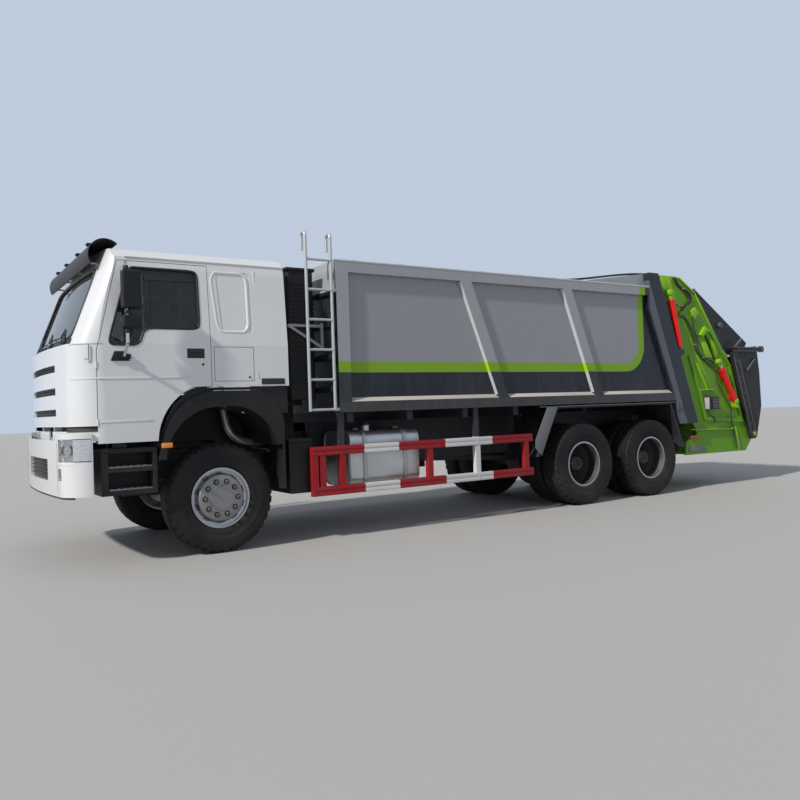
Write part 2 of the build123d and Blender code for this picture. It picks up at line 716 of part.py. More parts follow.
pocket_points = (
    ((body_front_x - post_width, pocket_top), (rib_tops[0], pocket_top),
     (rib_x(rib_tops[0], pocket_bottom), pocket_bottom),
     (body_front_x - post_width, pocket_bottom)),
    ((rib_tops[0] - rib_width, pocket_top), (rib_tops[1], pocket_top),
     (rib_x(rib_tops[1], pocket_bottom), pocket_bottom),
     (rib_x(rib_tops[0] - rib_width, pocket_bottom), pocket_bottom)),
    ((rib_tops[1] - rib_width, pocket_top), (column_bend_x + 30, pocket_top),
     (column_bend_x + 30, column_bend_z),
     (column_foot_x + 30, pocket_bottom), (rib_x(rib_tops[1] - rib_width, pocket_bottom), pocket_bottom)),
)
inner_half = body_half - body_wall
roof_rib_offsets = (250, 850, 1450, 2050, 2650, 3250)
roof_rib_width = 60
roof_rib_height = 25
roof_rib_half = body_half - 60
with BuildPart() as load_body:
    outline(side_plane(body_half), body_side_points(), 2 * body_half)
    outline(side_plane(inner_half),
            ((body_front_x - body_wall, body_bottom + floor_thick),
             (body_front_x - body_wall, body_top - floor_thick),
             (frame_rear_x - 500, body_top - floor_thick), (frame_rear_x - 500, body_bottom + floor_thick)),
            2 * inner_half, mode=Mode.SUBTRACT)
    for pocket in pocket_points:
        outline(side_plane(body_half), pocket, panel_recess, mode=Mode.SUBTRACT)
        outline(side_plane(panel_recess - body_half), pocket, panel_recess, mode=Mode.SUBTRACT)
    for rib_offset in roof_rib_offsets:
        rib_front_x = body_front_x - rib_offset
        block(rib_front_x - roof_rib_width, rib_front_x, -roof_rib_half, roof_rib_half, body_top - 1,
              body_top + roof_rib_height)
save(load_body.part, "load_body")

# Rear frame: two slanted columns joined by a header and a sill, with the tailgate's hinge lugs and pins,
# and the forks that hold the feet of the lift cylinders
lug_rows = ((body_half - 350, body_half - 310), (body_half - 250, body_half - 210))
tail_lug = (lug_rows[0][1] + 5, lug_rows[1][0] - 5)
lift_y = body_half - 45
lift_foot = from_hinge(400, 1080)
lift_eye = from_hinge(200, 210)
fork_rows = ((lift_y - 40, lift_y - 25), (lift_y + 25, lift_y + 40))
foot_pin_radius = 20
with BuildPart() as rear_frame:
    column = ((column_bend_x, rear_top_z), (rear_top_x, rear_top_z),
              (rear_plane_x(rear_bottom_z), rear_bottom_z),
              (rear_plane_x(rear_bottom_z) + column_width, rear_bottom_z), (column_foot_x, pocket_bottom),
              (column_bend_x, column_bend_z))
    for plane_y in (body_half, column_depth - body_half):
        outline(side_plane(plane_y), column, column_depth)
    inner = body_half - column_depth
    outline(side_plane(inner), ((column_bend_x, rear_top_z), (rear_top_x, rear_top_z),
                                (rear_plane_x(rear_top_z - 190), rear_top_z - 190), (column_bend_x,
                                                                                     rear_top_z - 190)),
            2 * inner)
    outline(side_plane(inner), ((column_foot_x - 45, body_bottom + floor_thick),
                                (rear_plane_x(body_bottom + floor_thick), body_bottom + floor_thick),
                                (rear_plane_x(1150), 1150), (column_foot_x - 80, 1150)), 2 * inner)
    for side in (1, -1):
        for lug_low, lug_high in lug_rows:
            outline(side_plane(max(side * lug_low, side * lug_high)),
                    ((rear_top_x + 1, hinge_z + 45), (hinge_x - 40, hinge_z + 40),
                     (hinge_x - 40, hinge_z - 40),
                     (rear_top_x + 1, hinge_z - 60)), lug_high - lug_low)
        rod_y(hinge_x, hinge_z, hinge_pin_radius, side * lug_rows[0][0], side * lug_rows[1][1])
        for fork_low, fork_high in fork_rows:
            outline(side_plane(max(side * fork_low, side * fork_high)),
                    ((rear_plane_x(lift_foot[1] + 70) + 1, lift_foot[1] + 70),
                     (lift_foot[0] - 35, lift_foot[1] + 25), (lift_foot[0] - 35, lift_foot[1] - 25),
                     (rear_plane_x(lift_foot[1] - 70) + 1, lift_foot[1] - 70)), fork_high - fork_low)
        rod_y(*lift_foot, foot_pin_radius, side * fork_rows[0][0], side * fork_rows[1][1])
save(rear_frame.part, "rear_frame")

# Roof hood: the raised wedge over the body's rear end
hood_front_x = front_axle_x - 5200
hood_half = body_half - 100
hood_front_rise = 40
with BuildPart() as roof_hood:
    outline(side_plane(hood_half), ((hood_front_x, body_top), (column_bend_x + seat_gap, body_top),
                                    (column_bend_x + seat_gap, rear_top_z - 5),
                                    (hood_front_x - hood_front_rise,
                                     body_top + hood_front_rise)), 2 * hood_half)
save(roof_hood.part, "roof_hood")

# Ladder on the body's front left corner: two rails with hooked tops and six rungs
ladder_xs = (front_axle_x - 955, front_axle_x - 1250)
ladder_y = body_half - 10
ladder_tube = 17
ladder_low_z = 1365
ladder_top_z = body_top + 290
rung_count = 6
rung_low_z = 1380
rung_pitch = (body_top - 15 - rung_low_z) / (rung_count - 1)
with BuildPart() as ladder:
    for rail_x in ladder_xs:
        with BuildLine() as cane:
            rise = Line((rail_x, ladder_y, ladder_low_z), (rail_x, ladder_y, ladder_top_z - 60))
            ThreePointArc(rise @ 1, (rail_x, ladder_y - 45, ladder_top_z - ladder_tube),
                          (rail_x, ladder_y - 90, ladder_top_z - 60))
            Line((rail_x, ladder_y - 90, ladder_top_z - 60), (rail_x, ladder_y - 90, ladder_top_z - 200))
        with BuildSketch(Plane(origin=rise @ 0, z_dir=(0, 0, 1))) as tube:
            Circle(ladder_tube)
        sweep(tube.sketch, path=cane.line)
    for rung in range(rung_count):
        rung_z = rung_low_z + rung * rung_pitch
        rod_between((ladder_xs[0], ladder_y, rung_z), (ladder_xs[1], ladder_y, rung_z), ladder_tube - 3)
    for stay_z in (rung_low_z, rung_low_z + 4 * rung_pitch):
        block(body_front_x, ladder_xs[1] + 5, ladder_y - 8, ladder_y + 8, stay_z - 15, stay_z + 15)
save(ladder.part, "ladder")

# Ejector panel inside the body: a slanted plate on two floor shoes
ejector_front_x = body_front_x - body_wall - 160
ejector_clear = 12
with BuildPart() as ejector:
    low_z, high_z = body_bottom + floor_thick + 30, body_top - floor_thick - 30
    half = inner_half - ejector_clear
    outline(side_plane(half), ((ejector_front_x, low_z), (ejector_front_x - 120, low_z),
                               (ejector_front_x - 40, 1900),
                               (ejector_front_x - 40, high_z), (ejector_front_x, high_z)), 2 * half)
    for side in (1, -1):
        block(ejector_front_x - 100, ejector_front_x + 120, side * 700, side * 800,
              body_bottom + floor_thick + 0.5, low_z + 5)
save(ejector.part, "ejector_panel")

# Cab: one outer form, from which the shell, the doors, the glass and the grille recess are taken.
# Below the belt its front stands upright, and above the belt it leans back.
cab_corner = (350, 70, 248)
screen_corner = (260, 40, 248)
screen_setback = 60
screen_slope = 0.386
roof_front_crown = 1090
door_gap = 6
door_hinge_x = door_front_x + door_gap / 2
door_hinge_y = 1241
door_hinge_zs = (1300, 1820)
door_knuckle_radius = 8
door_knuckle_height = 30
door_pin_radius = 3.5
glass_depth = 18
glass_thick = 6


def cab_form(inset):
    """The cab's outer form, or the same form shrunk by inset."""
    with BuildPart() as form:
        low = Plane.XY.offset(door_bottom_z + inset)
        extrude(nose_plan(low, cab_front_x, cab_rear_x, cab_half, cab_corner, inset),
                amount=cab_belt_z - door_bottom_z - inset)
        belt = Plane.XY.offset(cab_belt_z)
        rise = cab_roof_z - cab_belt_z + 50
        extrude(nose_plan(belt, cab_front_x - screen_setback, cab_rear_x - 400, cab_half, screen_corner,
                          inset),
                amount=rise * math.hypot(1, screen_slope), dir=(-screen_slope, 0, 1))
        with BuildSketch(Plane(origin=(cab_rear_x + inset, 0, 0), x_dir=(0, 1, 0),
                               z_dir=(1, 0, 0))) as front_view:
            with BuildLine():
                Polyline((-roof_front_crown, cab_roof_z - 45), (-cab_half + 92, cab_gutter_z + 12),
                         (-cab_half + 74, cab_gutter_z), (-cab_half + 58, cab_gutter_z - 90), (-cab_half,
                                                                                               cab_belt_z),
                         (-cab_half, door_bottom_z), (cab_half, door_bottom_z), (cab_half, cab_belt_z),
                         (cab_half - 58, cab_gutter_z - 90), (cab_half - 74, cab_gutter_z),
                         (cab_half - 92, cab_gutter_z + 12), (roof_front_crown, cab_roof_z - 45))
                ThreePointArc((roof_front_crown, cab_roof_z - 45), (0, cab_roof_z),
                              (-roof_front_crown, cab_roof_z - 45))
            make_face()
            if inset:
                offset(amount=-inset, kind=Kind.INTERSECTION)
        extrude(front_view.sketch, amount=cab_front_x - cab_rear_x, mode=Mode.INTERSECT)
    return form.part


def under_floor(lift):
    """What lies below the cab's floor and over its wheel arches, right across; lift raises it."""
    with BuildPart() as region:
        with BuildSketch(side_plane(cab_half + 100)) as side:
            with BuildLine():
                Polyline((cab_rear_x - 600, 900), (cab_rear_x - 600, cab_arch_z + lift),
                         (front_axle_x + 240 + lift * 0.4, cab_arch_z + lift))
                ThreePointArc((front_axle_x + 240 + lift * 0.4, cab_arch_z + lift),
                              (front_axle_x + 470 + lift * 0.7, 1510 + lift * 0.7),
                              (front_axle_x + 600 + lift, cab_low_z + lift))
                Polyline((front_axle_x + 600 + lift, cab_low_z + lift), (cab_front_x + 200, cab_low_z + lift),
                         (cab_front_x + 200, 900), (cab_rear_x - 600, 900))
            make_face()
        extrude(side.sketch, amount=2 * cab_half + 200)
    return region.part


def door_outline(gap):
    """The door's side view, or its opening in the shell when gap is added round it."""
    with BuildSketch(side_plane(cab_half + 50)) as door:
        with BuildLine():
            Polyline((front_axle_x + 630, door_bottom_z), (door_front_x, door_bottom_z),
                     (door_front_x - 5, 1980),
                     (front_axle_x + 945, cab_gutter_z - 40), (door_rear_x, cab_gutter_z - 40),
                     (door_rear_x, cab_arch_z + 5), (front_axle_x + 280, cab_arch_z))
            ThreePointArc((front_axle_x + 280, cab_arch_z), (front_axle_x + 515, 1460),
                          (front_axle_x + 630, door_bottom_z))
        make_face()
        if gap:
            offset(amount=gap, kind=Kind.INTERSECTION)
    return door.sketch


def door_window(gap):
    """The door's window with its stepped sill, shrunk by gap."""
    with BuildSketch(side_plane(cab_half + 50)) as window:
        with BuildLine():
            Polyline((front_axle_x + 850, 2762), (front_axle_x + 200, 2762), (front_axle_x + 200, 2195),
                     (front_axle_x + 720, 2195), (front_axle_x + 780, 2035), (front_axle_x + 1060,
                                                                              2035), close=True)
        make_face()
        fillet(window.vertices(), radius=35)
        if gap:
            offset(amount=-gap)
    return window.sketch


def screen_outline(gap):
    """The windscreen seen from the front, shrunk by gap."""
    with BuildSketch(Plane(origin=(front_axle_x + 700, 0, 0), x_dir=(0, 1, 0), z_dir=(1, 0, 0))) as screen:
        with BuildLine():
            Polyline((-1030, 2105), (1030, 2105), (975, 2770), (-975, 2770), close=True)
        make_face()
        fillet(screen.vertices(), radius=60)
        if gap:
            offset(amount=-gap)
    return screen.sketch


grille_half = 800
grille_low_z = 1330
grille_top_z = 1990
grille_depth = 25
grille_slots = ((1815, 1880), (1600, 1665), (1400, 1465))
outer_form = cab_form(0)
inner_form = cab_form(cab_wall)

with BuildPart() as cab_void:
    add(inner_form)
    add(under_floor(cab_wall), mode=Mode.SUBTRACT)

with BuildPart() as grille_panel:
    with BuildSketch(Plane(origin=(cab_front_x - 200, 0, 0), x_dir=(0, 1, 0), z_dir=(1, 0, 0))) as panel:
        with Locations((0, (grille_low_z + grille_top_z) / 2)):
            RectangleRounded(2 * grille_half, grille_top_z - grille_low_z, 60)
    extrude(panel.sketch, amount=300)
    add(outer_form, mode=Mode.INTERSECT)
    add(cab_form(grille_depth), mode=Mode.SUBTRACT)
    for slot_low, slot_high in grille_slots:
        block(cab_front_x - 300, cab_front_x + 50, -grille_half + 120, grille_half - 120, slot_low, slot_high,
              mode=Mode.SUBTRACT)
save(grille_panel.part, "grille_panel")

# a blind window pressed into each rear quarter, as (x, z) corners
blind_depth = 5
blind_corners = ((front_axle_x + 20, 2770), (front_axle_x - 340, 2780), (front_axle_x - 345, 2175),
                 (front_axle_x - 20, 2165))
with BuildPart() as blind_windows:
    with BuildSketch(side_plane(cab_half + 50)) as blind:
        with BuildLine():
            Polyline(*blind_corners, close=True)
        make_face()
        fillet(blind.vertices(), radius=50)
    extrude(blind.sketch, amount=2 * (cab_half + 50))
    add(cab_form(blind_depth), mode=Mode.SUBTRACT)

with BuildPart() as cab_shell:
    add(outer_form)
    add(blind_windows.part, mode=Mode.SUBTRACT)
    add(cab_void.part, mode=Mode.SUBTRACT)
    add(under_floor(0), mode=Mode.SUBTRACT)
    extrude(door_outline(door_gap), amount=250, mode=Mode.SUBTRACT)
    with BuildPart(mode=Mode.PRIVATE) as right_opening:
        extrude(door_outline(door_gap), amount=250)
    add(mirror(right_opening.part, about=Plane.XZ), mode=Mode.SUBTRACT)
    extrude(screen_outline(0), amount=800, mode=Mode.SUBTRACT)
    with BuildSketch(Plane(origin=(cab_front_x - 200, 0, 0), x_dir=(0, 1, 0), z_dir=(1, 0, 0))) as recess:
        with Locations((0, (grille_low_z + grille_top_z) / 2)):
            RectangleRounded(2 * grille_half + 2 * seat_gap, grille_top_z - grille_low_z + 2 * seat_gap, 60)
    with BuildPart(mode=Mode.PRIVATE) as recess_cut:
        extrude(recess.sketch, amount=300)
        add(cab_form(grille_depth + seat_gap), mode=Mode.SUBTRACT)
    add(recess_cut.part, mode=Mode.SUBTRACT)
    # hinge lugs under the floor's front edge
    for side in (1, -1):
        with BuildSketch(side_plane(max(side * (rail_y - 110), side * (rail_y - 60)))) as lug:
            with BuildLine():
                Polyline((tilt_x - 34, tilt_z), (tilt_x - 34, cab_low_z + 5), (tilt_x + 34, cab_low_z + 5),
                         (tilt_x + 34, tilt_z))
                ThreePointArc((tilt_x + 34, tilt_z), (tilt_x, tilt_z - 34), (tilt_x - 34, tilt_z))
            make_face()
            with Locations((tilt_x, tilt_z)):
                Circle(22 + turning_gap, mode=Mode.SUBTRACT)
        extrude(lug.sketch, amount=50)
        # the lower half of each door hinge, with its pin
        for hinge_low_z in door_hinge_zs:
            rod_z(door_hinge_x, side * door_hinge_y, door_knuckle_radius + 0.6,
                  hinge_low_z + door_knuckle_height,
                  hinge_low_z + 2 * door_knuckle_height + seat_gap, mode=Mode.SUBTRACT)
            rod_z(door_hinge_x, side * door_hinge_y, door_knuckle_radius, hinge_low_z,
                  hinge_low_z + door_knuckle_height)
            block(door_hinge_x, door_hinge_x + 14, side * (door_hinge_y - 16), side * (door_hinge_y - 3),
                  hinge_low_z,
                  hinge_low_z + door_knuckle_height)
            rod_z(door_hinge_x, side * door_hinge_y, door_pin_radius, hinge_low_z,
                  hinge_low_z + 2 * door_knuckle_height - 2)
save(cab_shell.part, "cab_shell")

with BuildPart() as windscreen:
    extrude(screen_outline(seat_gap), amount=800)
    add(cab_form(glass_depth), mode=Mode.INTERSECT)
    add(cab_form(glass_depth + glass_thick), mode=Mode.SUBTRACT)
save(windscreen.part, "windscreen")

with BuildPart() as door:
    extrude(door_outline(0), amount=170)
    add(outer_form, mode=Mode.INTERSECT)
    add(inner_form, mode=Mode.SUBTRACT)
    extrude(door_window(0), amount=250, mode=Mode.SUBTRACT)
    for hinge_low_z in door_hinge_zs:
        middle_z = hinge_low_z + door_knuckle_height
        top_z = middle_z + door_knuckle_height
        rod_z(door_hinge_x, door_hinge_y, door_knuckle_radius + 0.6, hinge_low_z - seat_gap,
              middle_z + seat_gap,
              mode=Mode.SUBTRACT)
        rod_z(door_hinge_x, door_hinge_y, door_knuckle_radius, middle_z + seat_gap, top_z)
        block(door_hinge_x - 14, door_hinge_x - 4, door_hinge_y - 13, door_hinge_y - 1, middle_z + seat_gap,
              top_z)
        rod_z(door_hinge_x, door_hinge_y, door_pin_radius + turning_gap, middle_z, top_z, mode=Mode.SUBTRACT)
with BuildPart() as door_glass:
    extrude(door_window(seat_gap), amount=250)
    add(cab_form(glass_depth), mode=Mode.INTERSECT)
    add(cab_form(glass_depth + glass_thick), mode=Mode.SUBTRACT)
for word in ("left", "right"):
    for piece, name in ((door, "door"), (door_glass, "door_glass")):
        save(piece.part if word == "left" else mirror(piece.part, about=Plane.XZ), f"{name}_{word}")

# Mirrors: a large and a small housing on a bent tube that stands on two feet on the door
mirror_out = 155
mirror_tube = 14
mirror_head = (front_axle_x + 790, front_axle_x + 965)
mirror_rows = ((2345, 2695), (2165, 2285))
mirror_depth_y = 85
mirror_foot_x = front_axle_x + 925
mirror_foot_z = 1925
mirror_top_x = front_axle_x + 880
mirror_top_z = 2795
with BuildPart() as mirrors:
    stem_y = cab_half + mirror_out
    head_y = stem_y - mirror_depth_y / 2
    for low_z, high_z in mirror_rows:
        block(*mirror_head, head_y, head_y + mirror_depth_y, low_z, high_z)
    fillet(mirrors.edges(), radius=22)
    rod_between((mirror_head[1] - 45, stem_y, mirror_foot_z + 110),
                (mirror_head[1] - 45, stem_y, mirror_top_z - 40),
                mirror_tube)
    rod_between((mirror_head[1] - 45, stem_y, mirror_foot_z + 116),
                (mirror_foot_x, cab_half + 24, mirror_foot_z),
                mirror_tube)
    rod_between((mirror_head[1] - 45, stem_y, mirror_top_z - 45), (mirror_top_x, cab_half - 22, mirror_top_z),
                mirror_tube)
    block(mirror_foot_x - 60, mirror_foot_x + 45, cab_half + seat_gap, cab_half + 30, mirror_foot_z - 22,
          mirror_foot_z + 22)
save(mirrors.part, "mirror_left")
save(mirror(mirrors.part, about=Plane.XZ), "mirror_right")

# Sun visor: a curved sheet over the top of the windscreen, on the roof's front edge
visor_half = 1060
visor_sheet = 12
with BuildPart() as sun_visor:
    with BuildSketch(side_plane(visor_half)) as visor:
        with BuildLine():
            top_arc = ThreePointArc((front_axle_x + 905, 2997), (front_axle_x + 1010, 3040),
                                    (front_axle_x + 1150, 2805))
            Line(top_arc @ 1, (front_axle_x + 1150 - visor_sheet, 2805))
            ThreePointArc((front_axle_x + 1150 - visor_sheet, 2805), (front_axle_x + 1003, 3030),
                          (front_axle_x + 914, cab_roof_z + seat_gap))
            Line((front_axle_x + 914, cab_roof_z + seat_gap), top_arc @ 0)
        make_face()
    extrude(visor.sketch, amount=2 * visor_half)
save(sun_visor.part, "sun_visor")

# Dashboard with the steering wheel, and the two seats with the bunk behind them
wheel_radius = 230
dash_rear_x = front_axle_x + 900
with BuildPart() as dashboard:
    outline(side_plane(1050), ((dash_rear_x, 1700), (dash_rear_x - 30, 1960), (dash_rear_x + 60, 2060),
                               (front_axle_x + 1180, 2080), (front_axle_x + 1180, 1700)), 2100)
    block(front_axle_x + 1170, cab_front_x - cab_wall - 1, -100, 100, 1760, 1940)
    column_top = (front_axle_x + 780, 480, 2080)
    rod_between((dash_rear_x + 60, 480, 1900), column_top, 35)
    wheel_plane = Plane(origin=column_top, z_dir=(-0.55, 0, 0.83))
    with BuildSketch(Plane(origin=column_top, x_dir=wheel_plane.x_dir, z_dir=wheel_plane.y_dir)) as tube:
        with Locations((wheel_radius, 0)):
            Circle(17)
    revolve(tube.sketch, axis=Axis(column_top, wheel_plane.z_dir))
    with BuildSketch(wheel_plane.offset(-12)) as spokes:
        Rectangle(2 * wheel_radius, 70)
        Circle(75)
    extrude(spokes.sketch, amount=24)
save(dashboard.part, "dashboard")

seat_floor_z = cab_arch_z + cab_wall
seat_front_x = front_axle_x + 520
with BuildPart() as seats:
    for seat_y in (480, -480):
        block(seat_front_x - 420, seat_front_x - 60, seat_y - 180, seat_y + 180, seat_floor_z + seat_gap,
              seat_floor_z + 270)
        block(seat_front_x - 500, seat_front_x, seat_y - 260, seat_y + 260, seat_floor_z + 270,
              seat_floor_z + 420)
        outline(side_plane(seat_y + 240), ((seat_front_x - 400, seat_floor_z + 400), (seat_front_x - 520,
                                                                                      seat_floor_z + 1030),
                                           (seat_front_x - 640, seat_floor_z + 1030), (seat_front_x - 540,
                                                                                       seat_floor_z + 300)),
                480)
    block(cab_rear_x + cab_wall + 5, cab_rear_x + 620, -1080, 1080, seat_floor_z + 330, seat_floor_z + 450)
    block(cab_rear_x + cab_wall + 5, cab_rear_x + 590, -1040, 1040, seat_floor_z + seat_gap,
          seat_floor_z + 330)
save(seats.part, "seats_and_bunk")

# Tailgate: two flat side plates joined by the roof, the upper back sheet, the hopper's trough and cross beams
loader_pivot = from_hinge(2130, 2370)
loader_pin_radius = 30
carriage_pin = from_hinge(1320, 1220)
carriage_pin_radius = 28
packer_foot = from_hinge(1700, 1840)
packer_stroke = 450
slot_width = 70
packer_run = Vector(carriage_pin[0] - packer_foot[0], 0, carriage_pin[1] - packer_foot[1]).normalized()
cover_pin = from_hinge(920, 120)
cover_pin_radius = 15
cover_lug_rows = ((tailgate_half - 150, tailgate_half - 120), (400, 430))
tail_roof_z = rear_top_z
tail_roof_rear_x = hinge_x - 450
tail_shoulder = from_hinge(850, 170)
back_sheet_foot = from_hinge(1450, 940)
tail_sill = from_hinge(2040, 2220)
trough_lip = from_hinge(605, 1815)
trough_knee = from_hinge(790, 2205)
trough_floor = from_hinge(1400, 2515)
trough_end = from_hinge(2040, 2325)
head_beam_front_x = hinge_x - 70
plate_top_z = hinge_z + 10
tail_front_z = hinge_z - 2140
plate_points = (
    (rear_plane_x(plate_top_z) - tailgate_gap, plate_top_z),
    (head_beam_front_x, tail_roof_z), (tail_roof_rear_x, tail_roof_z), tail_shoulder,
    from_hinge(1630, 1190), from_hinge(1700, 1260), from_hinge(1960, 2090), tail_sill,
    from_hinge(2150, 2290), from_hinge(2270, 2350), from_hinge(2010, 2633),
    from_hinge(500, 2620), from_hinge(520, 2420), from_hinge(800, 2310),
    (rear_plane_x(tail_front_z) - tailgate_gap, tail_front_z),
)
plate_inner = tailgate_half - tailgate_wall
cross_beams = ((from_hinge(610, 2610), from_hinge(530, 2490)),
               (from_hinge(2000, 2625), from_hinge(1920, 2540)))
# a raised band round the lower bay of each side plate, as points down its middle
band_width = 50
band_proud = 24
band_points = (from_hinge(660, 1140), from_hinge(870, 1680), from_hinge(990, 2090), from_hinge(1910, 2150),
               from_hinge(1635, 1270), from_hinge(1420, 1020), from_hinge(1190, 740))
with BuildPart() as tailgate:
    for plane_y in (tailgate_half, tailgate_wall - tailgate_half):
        outline(side_plane(plane_y), plate_points, tailgate_wall)
    outline(side_plane(plate_inner),
            ((head_beam_front_x, tail_roof_z), (tail_roof_rear_x, tail_roof_z), tail_shoulder,
             back_sheet_foot,
             (back_sheet_foot[0] + 18, back_sheet_foot[1] - 5), (tail_shoulder[0] + 20,
                                                                 tail_shoulder[1] - 18),
             (tail_roof_rear_x + 6, tail_roof_z - tailgate_sheet), (head_beam_front_x - 110,
                                                                    tail_roof_z - tailgate_sheet),
             (head_beam_front_x - 110, tail_roof_z - 100), (head_beam_front_x,
                                                            tail_roof_z - 100)), 2 * plate_inner)
    with BuildSketch(side_plane(plate_inner)) as trough:
        with BuildLine():
            Polyline(trough_lip, trough_knee)
            ThreePointArc(trough_knee, trough_floor, trough_end)
            Line(trough_end, (trough_end[0] - 3, trough_end[1] - tailgate_sheet))
            ThreePointArc((trough_end[0] - 3, trough_end[1] - tailgate_sheet),
                          (trough_floor[0], trough_floor[1] - tailgate_sheet), (trough_knee[0] + 18,
                                                                                trough_knee[1] - 9))
            Polyline((trough_knee[0] + 18, trough_knee[1] - 9), (trough_lip[0] + 18, trough_lip[1] - 9),
                     trough_lip)
        make_face()
    extrude(trough.sketch, amount=2 * plate_inner)
    outline(side_plane(plate_inner), ((tail_sill[0] + 5, tail_sill[1] + 5), (tail_sill[0] - 10,
                                                                             tail_sill[1] - 130),
                                      (tail_sill[0] + 60, tail_sill[1] - 140), (tail_sill[0] + 75,
                                                                                tail_sill[1] - 5)),
            2 * plate_inner)
    for (beam_rear_x, beam_low_z), (beam_front_x, beam_high_z) in cross_beams:
        block(beam_rear_x, beam_front_x, -plate_inner, plate_inner, beam_low_z, beam_high_z)
    for side in (1, -1):
        for (start_x, start_z), (end_x, end_z) in zip(band_points, band_points[1:]):
            plane_y = max(side * (tailgate_half - 1), side * (tailgate_half + band_proud))
            with BuildSketch(side_plane(plane_y)) as band:
                with Locations(((start_x + end_x) / 2, (start_z + end_z) / 2)):
                    SlotCenterToCenter(math.hypot(end_x - start_x, end_z - start_z), band_width,
                                       rotation=math.degrees(math.atan2(end_z - start_z, end_x - start_x)))
            extrude(band.sketch, amount=band_proud + 1)
        outline(side_plane(max(side * tail_lug[0], side * tail_lug[1])),
                ((hinge_x + 20, hinge_z + 38), (head_beam_front_x - 5, tail_roof_z - 5),
                 (head_beam_front_x - 5, tail_roof_z - 95), (hinge_x + 20,
                                                             hinge_z - 38)), tail_lug[1] - tail_lug[0])
        rod_y(hinge_x, hinge_z, 45, side * tail_lug[0], side * tail_lug[1])
        rod_y(hinge_x, hinge_z, hinge_pin_radius + turning_gap, side * tail_lug[0], side * tail_lug[1],
              mode=Mode.SUBTRACT)
        for lug_low, lug_high in cover_lug_rows:
            outline(side_plane(max(side * lug_low, side * lug_high)),
                    ((cover_pin[0] - 22, cover_pin[1] + 22), (cover_pin[0] + 22, cover_pin[1] + 22),
                     (tail_shoulder[0] + 30, tail_shoulder[1] + 10), (tail_shoulder[0] - 62,
                                                                      tail_shoulder[1] - 85)),
                    lug_high - lug_low)
            rod_y(*cover_pin, cover_pin_radius, side * (lug_low - 40), side * (lug_high + 40))
        outer, inner = side * tailgate_half, side * plate_inner
        with BuildSketch(side_plane(max(outer, inner))) as slot:
            with Locations((carriage_pin[0] + packer_run.X * packer_stroke / 2,
                            carriage_pin[1] + packer_run.Z * packer_stroke / 2)):
                SlotCenterToCenter(packer_stroke, slot_width,
                                   rotation=math.degrees(math.atan2(packer_run.Z, packer_run.X)))
        extrude(slot.sketch, amount=tailgate_wall, mode=Mode.SUBTRACT)
        rod_y(*loader_pivot, 75, outer, inner)
        rod_y(*loader_pivot, loader_pin_radius + turning_gap, outer, inner, mode=Mode.SUBTRACT)
save(tailgate.part, "tailgate_shell")

# Lift cylinders of the tailgate: the feet turn in the rear frame's forks, and the rods' eyes stop just off
# the tailgate's side plates
cylinder_radius = 45
cylinder_bore = 34
lift_rod_radius = 26
lift_run = Vector(lift_eye[0] - lift_foot[0], 0, lift_eye[1] - lift_foot[1]).normalized()
lift_barrel_length = 790
lift_eye_radius = 48


def along(start, run, distance, y):
    """The point at a distance along a run from a point given in side view, at y."""
    return (start[0] + run.X * distance, y, start[1] + run.Z * distance)


with BuildPart() as lift_barrel:
    rod_y(*lift_foot, 34, lift_y - 22, lift_y + 22)
    rod_between(along(lift_foot, lift_run, 20, lift_y), along(lift_foot, lift_run, 100, lift_y), 21)
    rod_between(along(lift_foot, lift_run, 95, lift_y), along(lift_foot, lift_run, lift_barrel_length,
                                                              lift_y),
                cylinder_radius)
    rod_between(along(lift_foot, lift_run, 115, lift_y), along(lift_foot, lift_run, lift_barrel_length + 1,
                                                               lift_y),
                cylinder_bore, mode=Mode.SUBTRACT)
    rod_y(*lift_foot, foot_pin_radius + turning_gap, lift_y - 22, lift_y + 22, mode=Mode.SUBTRACT)
with BuildPart() as lift_barrels:
    add(lift_barrel.part)
    add(mirror(lift_barrel.part, about=Plane.XZ))
save(lift_barrels.part, "lift_barrels")

with BuildPart() as lift_rod:
    rod_y(*lift_eye, lift_eye_radius, tailgate_half + 6, lift_y + 40)
    rod_between(along(lift_foot, lift_run, 150, lift_y), along(lift_eye, lift_run, -20, lift_y),
                lift_rod_radius)
    rod_between(along(lift_foot, lift_run, 130, lift_y), along(lift_foot, lift_run, 190, lift_y),
                cylinder_bore - turning_gap)
with BuildPart() as lift_rods:
    add(lift_rod.part)
    add(mirror(lift_rod.part, about=Plane.XZ))
save(lift_rods.part, "lift_rods")

# Packer cylinders: barrels fixed to the side plates, foot down
packer_y = tailgate_half + 50
packer_barrel_length = 600
with BuildPart() as packer_barrel:
    rod_between((packer_foot[0], packer_y, packer_foot[1]),
                along(packer_foot, packer_run, packer_barrel_length, packer_y), cylinder_radius)
    for distance in (60, 470):
        start = along(packer_foot, packer_run, distance, tailgate_half + (packer_y - tailgate_half) / 2)
        with BuildSketch(Plane(origin=start, x_dir=(0, 1, 0), z_dir=packer_run)) as pad:
            Rectangle(packer_y - tailgate_half, 100)
        extrude(pad.sketch, amount=60)
    rod_between(along(packer_foot, packer_run, 40, packer_y),
                along(packer_foot, packer_run, packer_barrel_length + 1,
                      packer_y), cylinder_bore, mode=Mode.SUBTRACT)
with BuildPart() as packer_barrels:
    add(packer_barrel.part)
    add(mirror(packer_barrel.part, about=Plane.XZ))
save(packer_barrels.part, "packer_barrels")

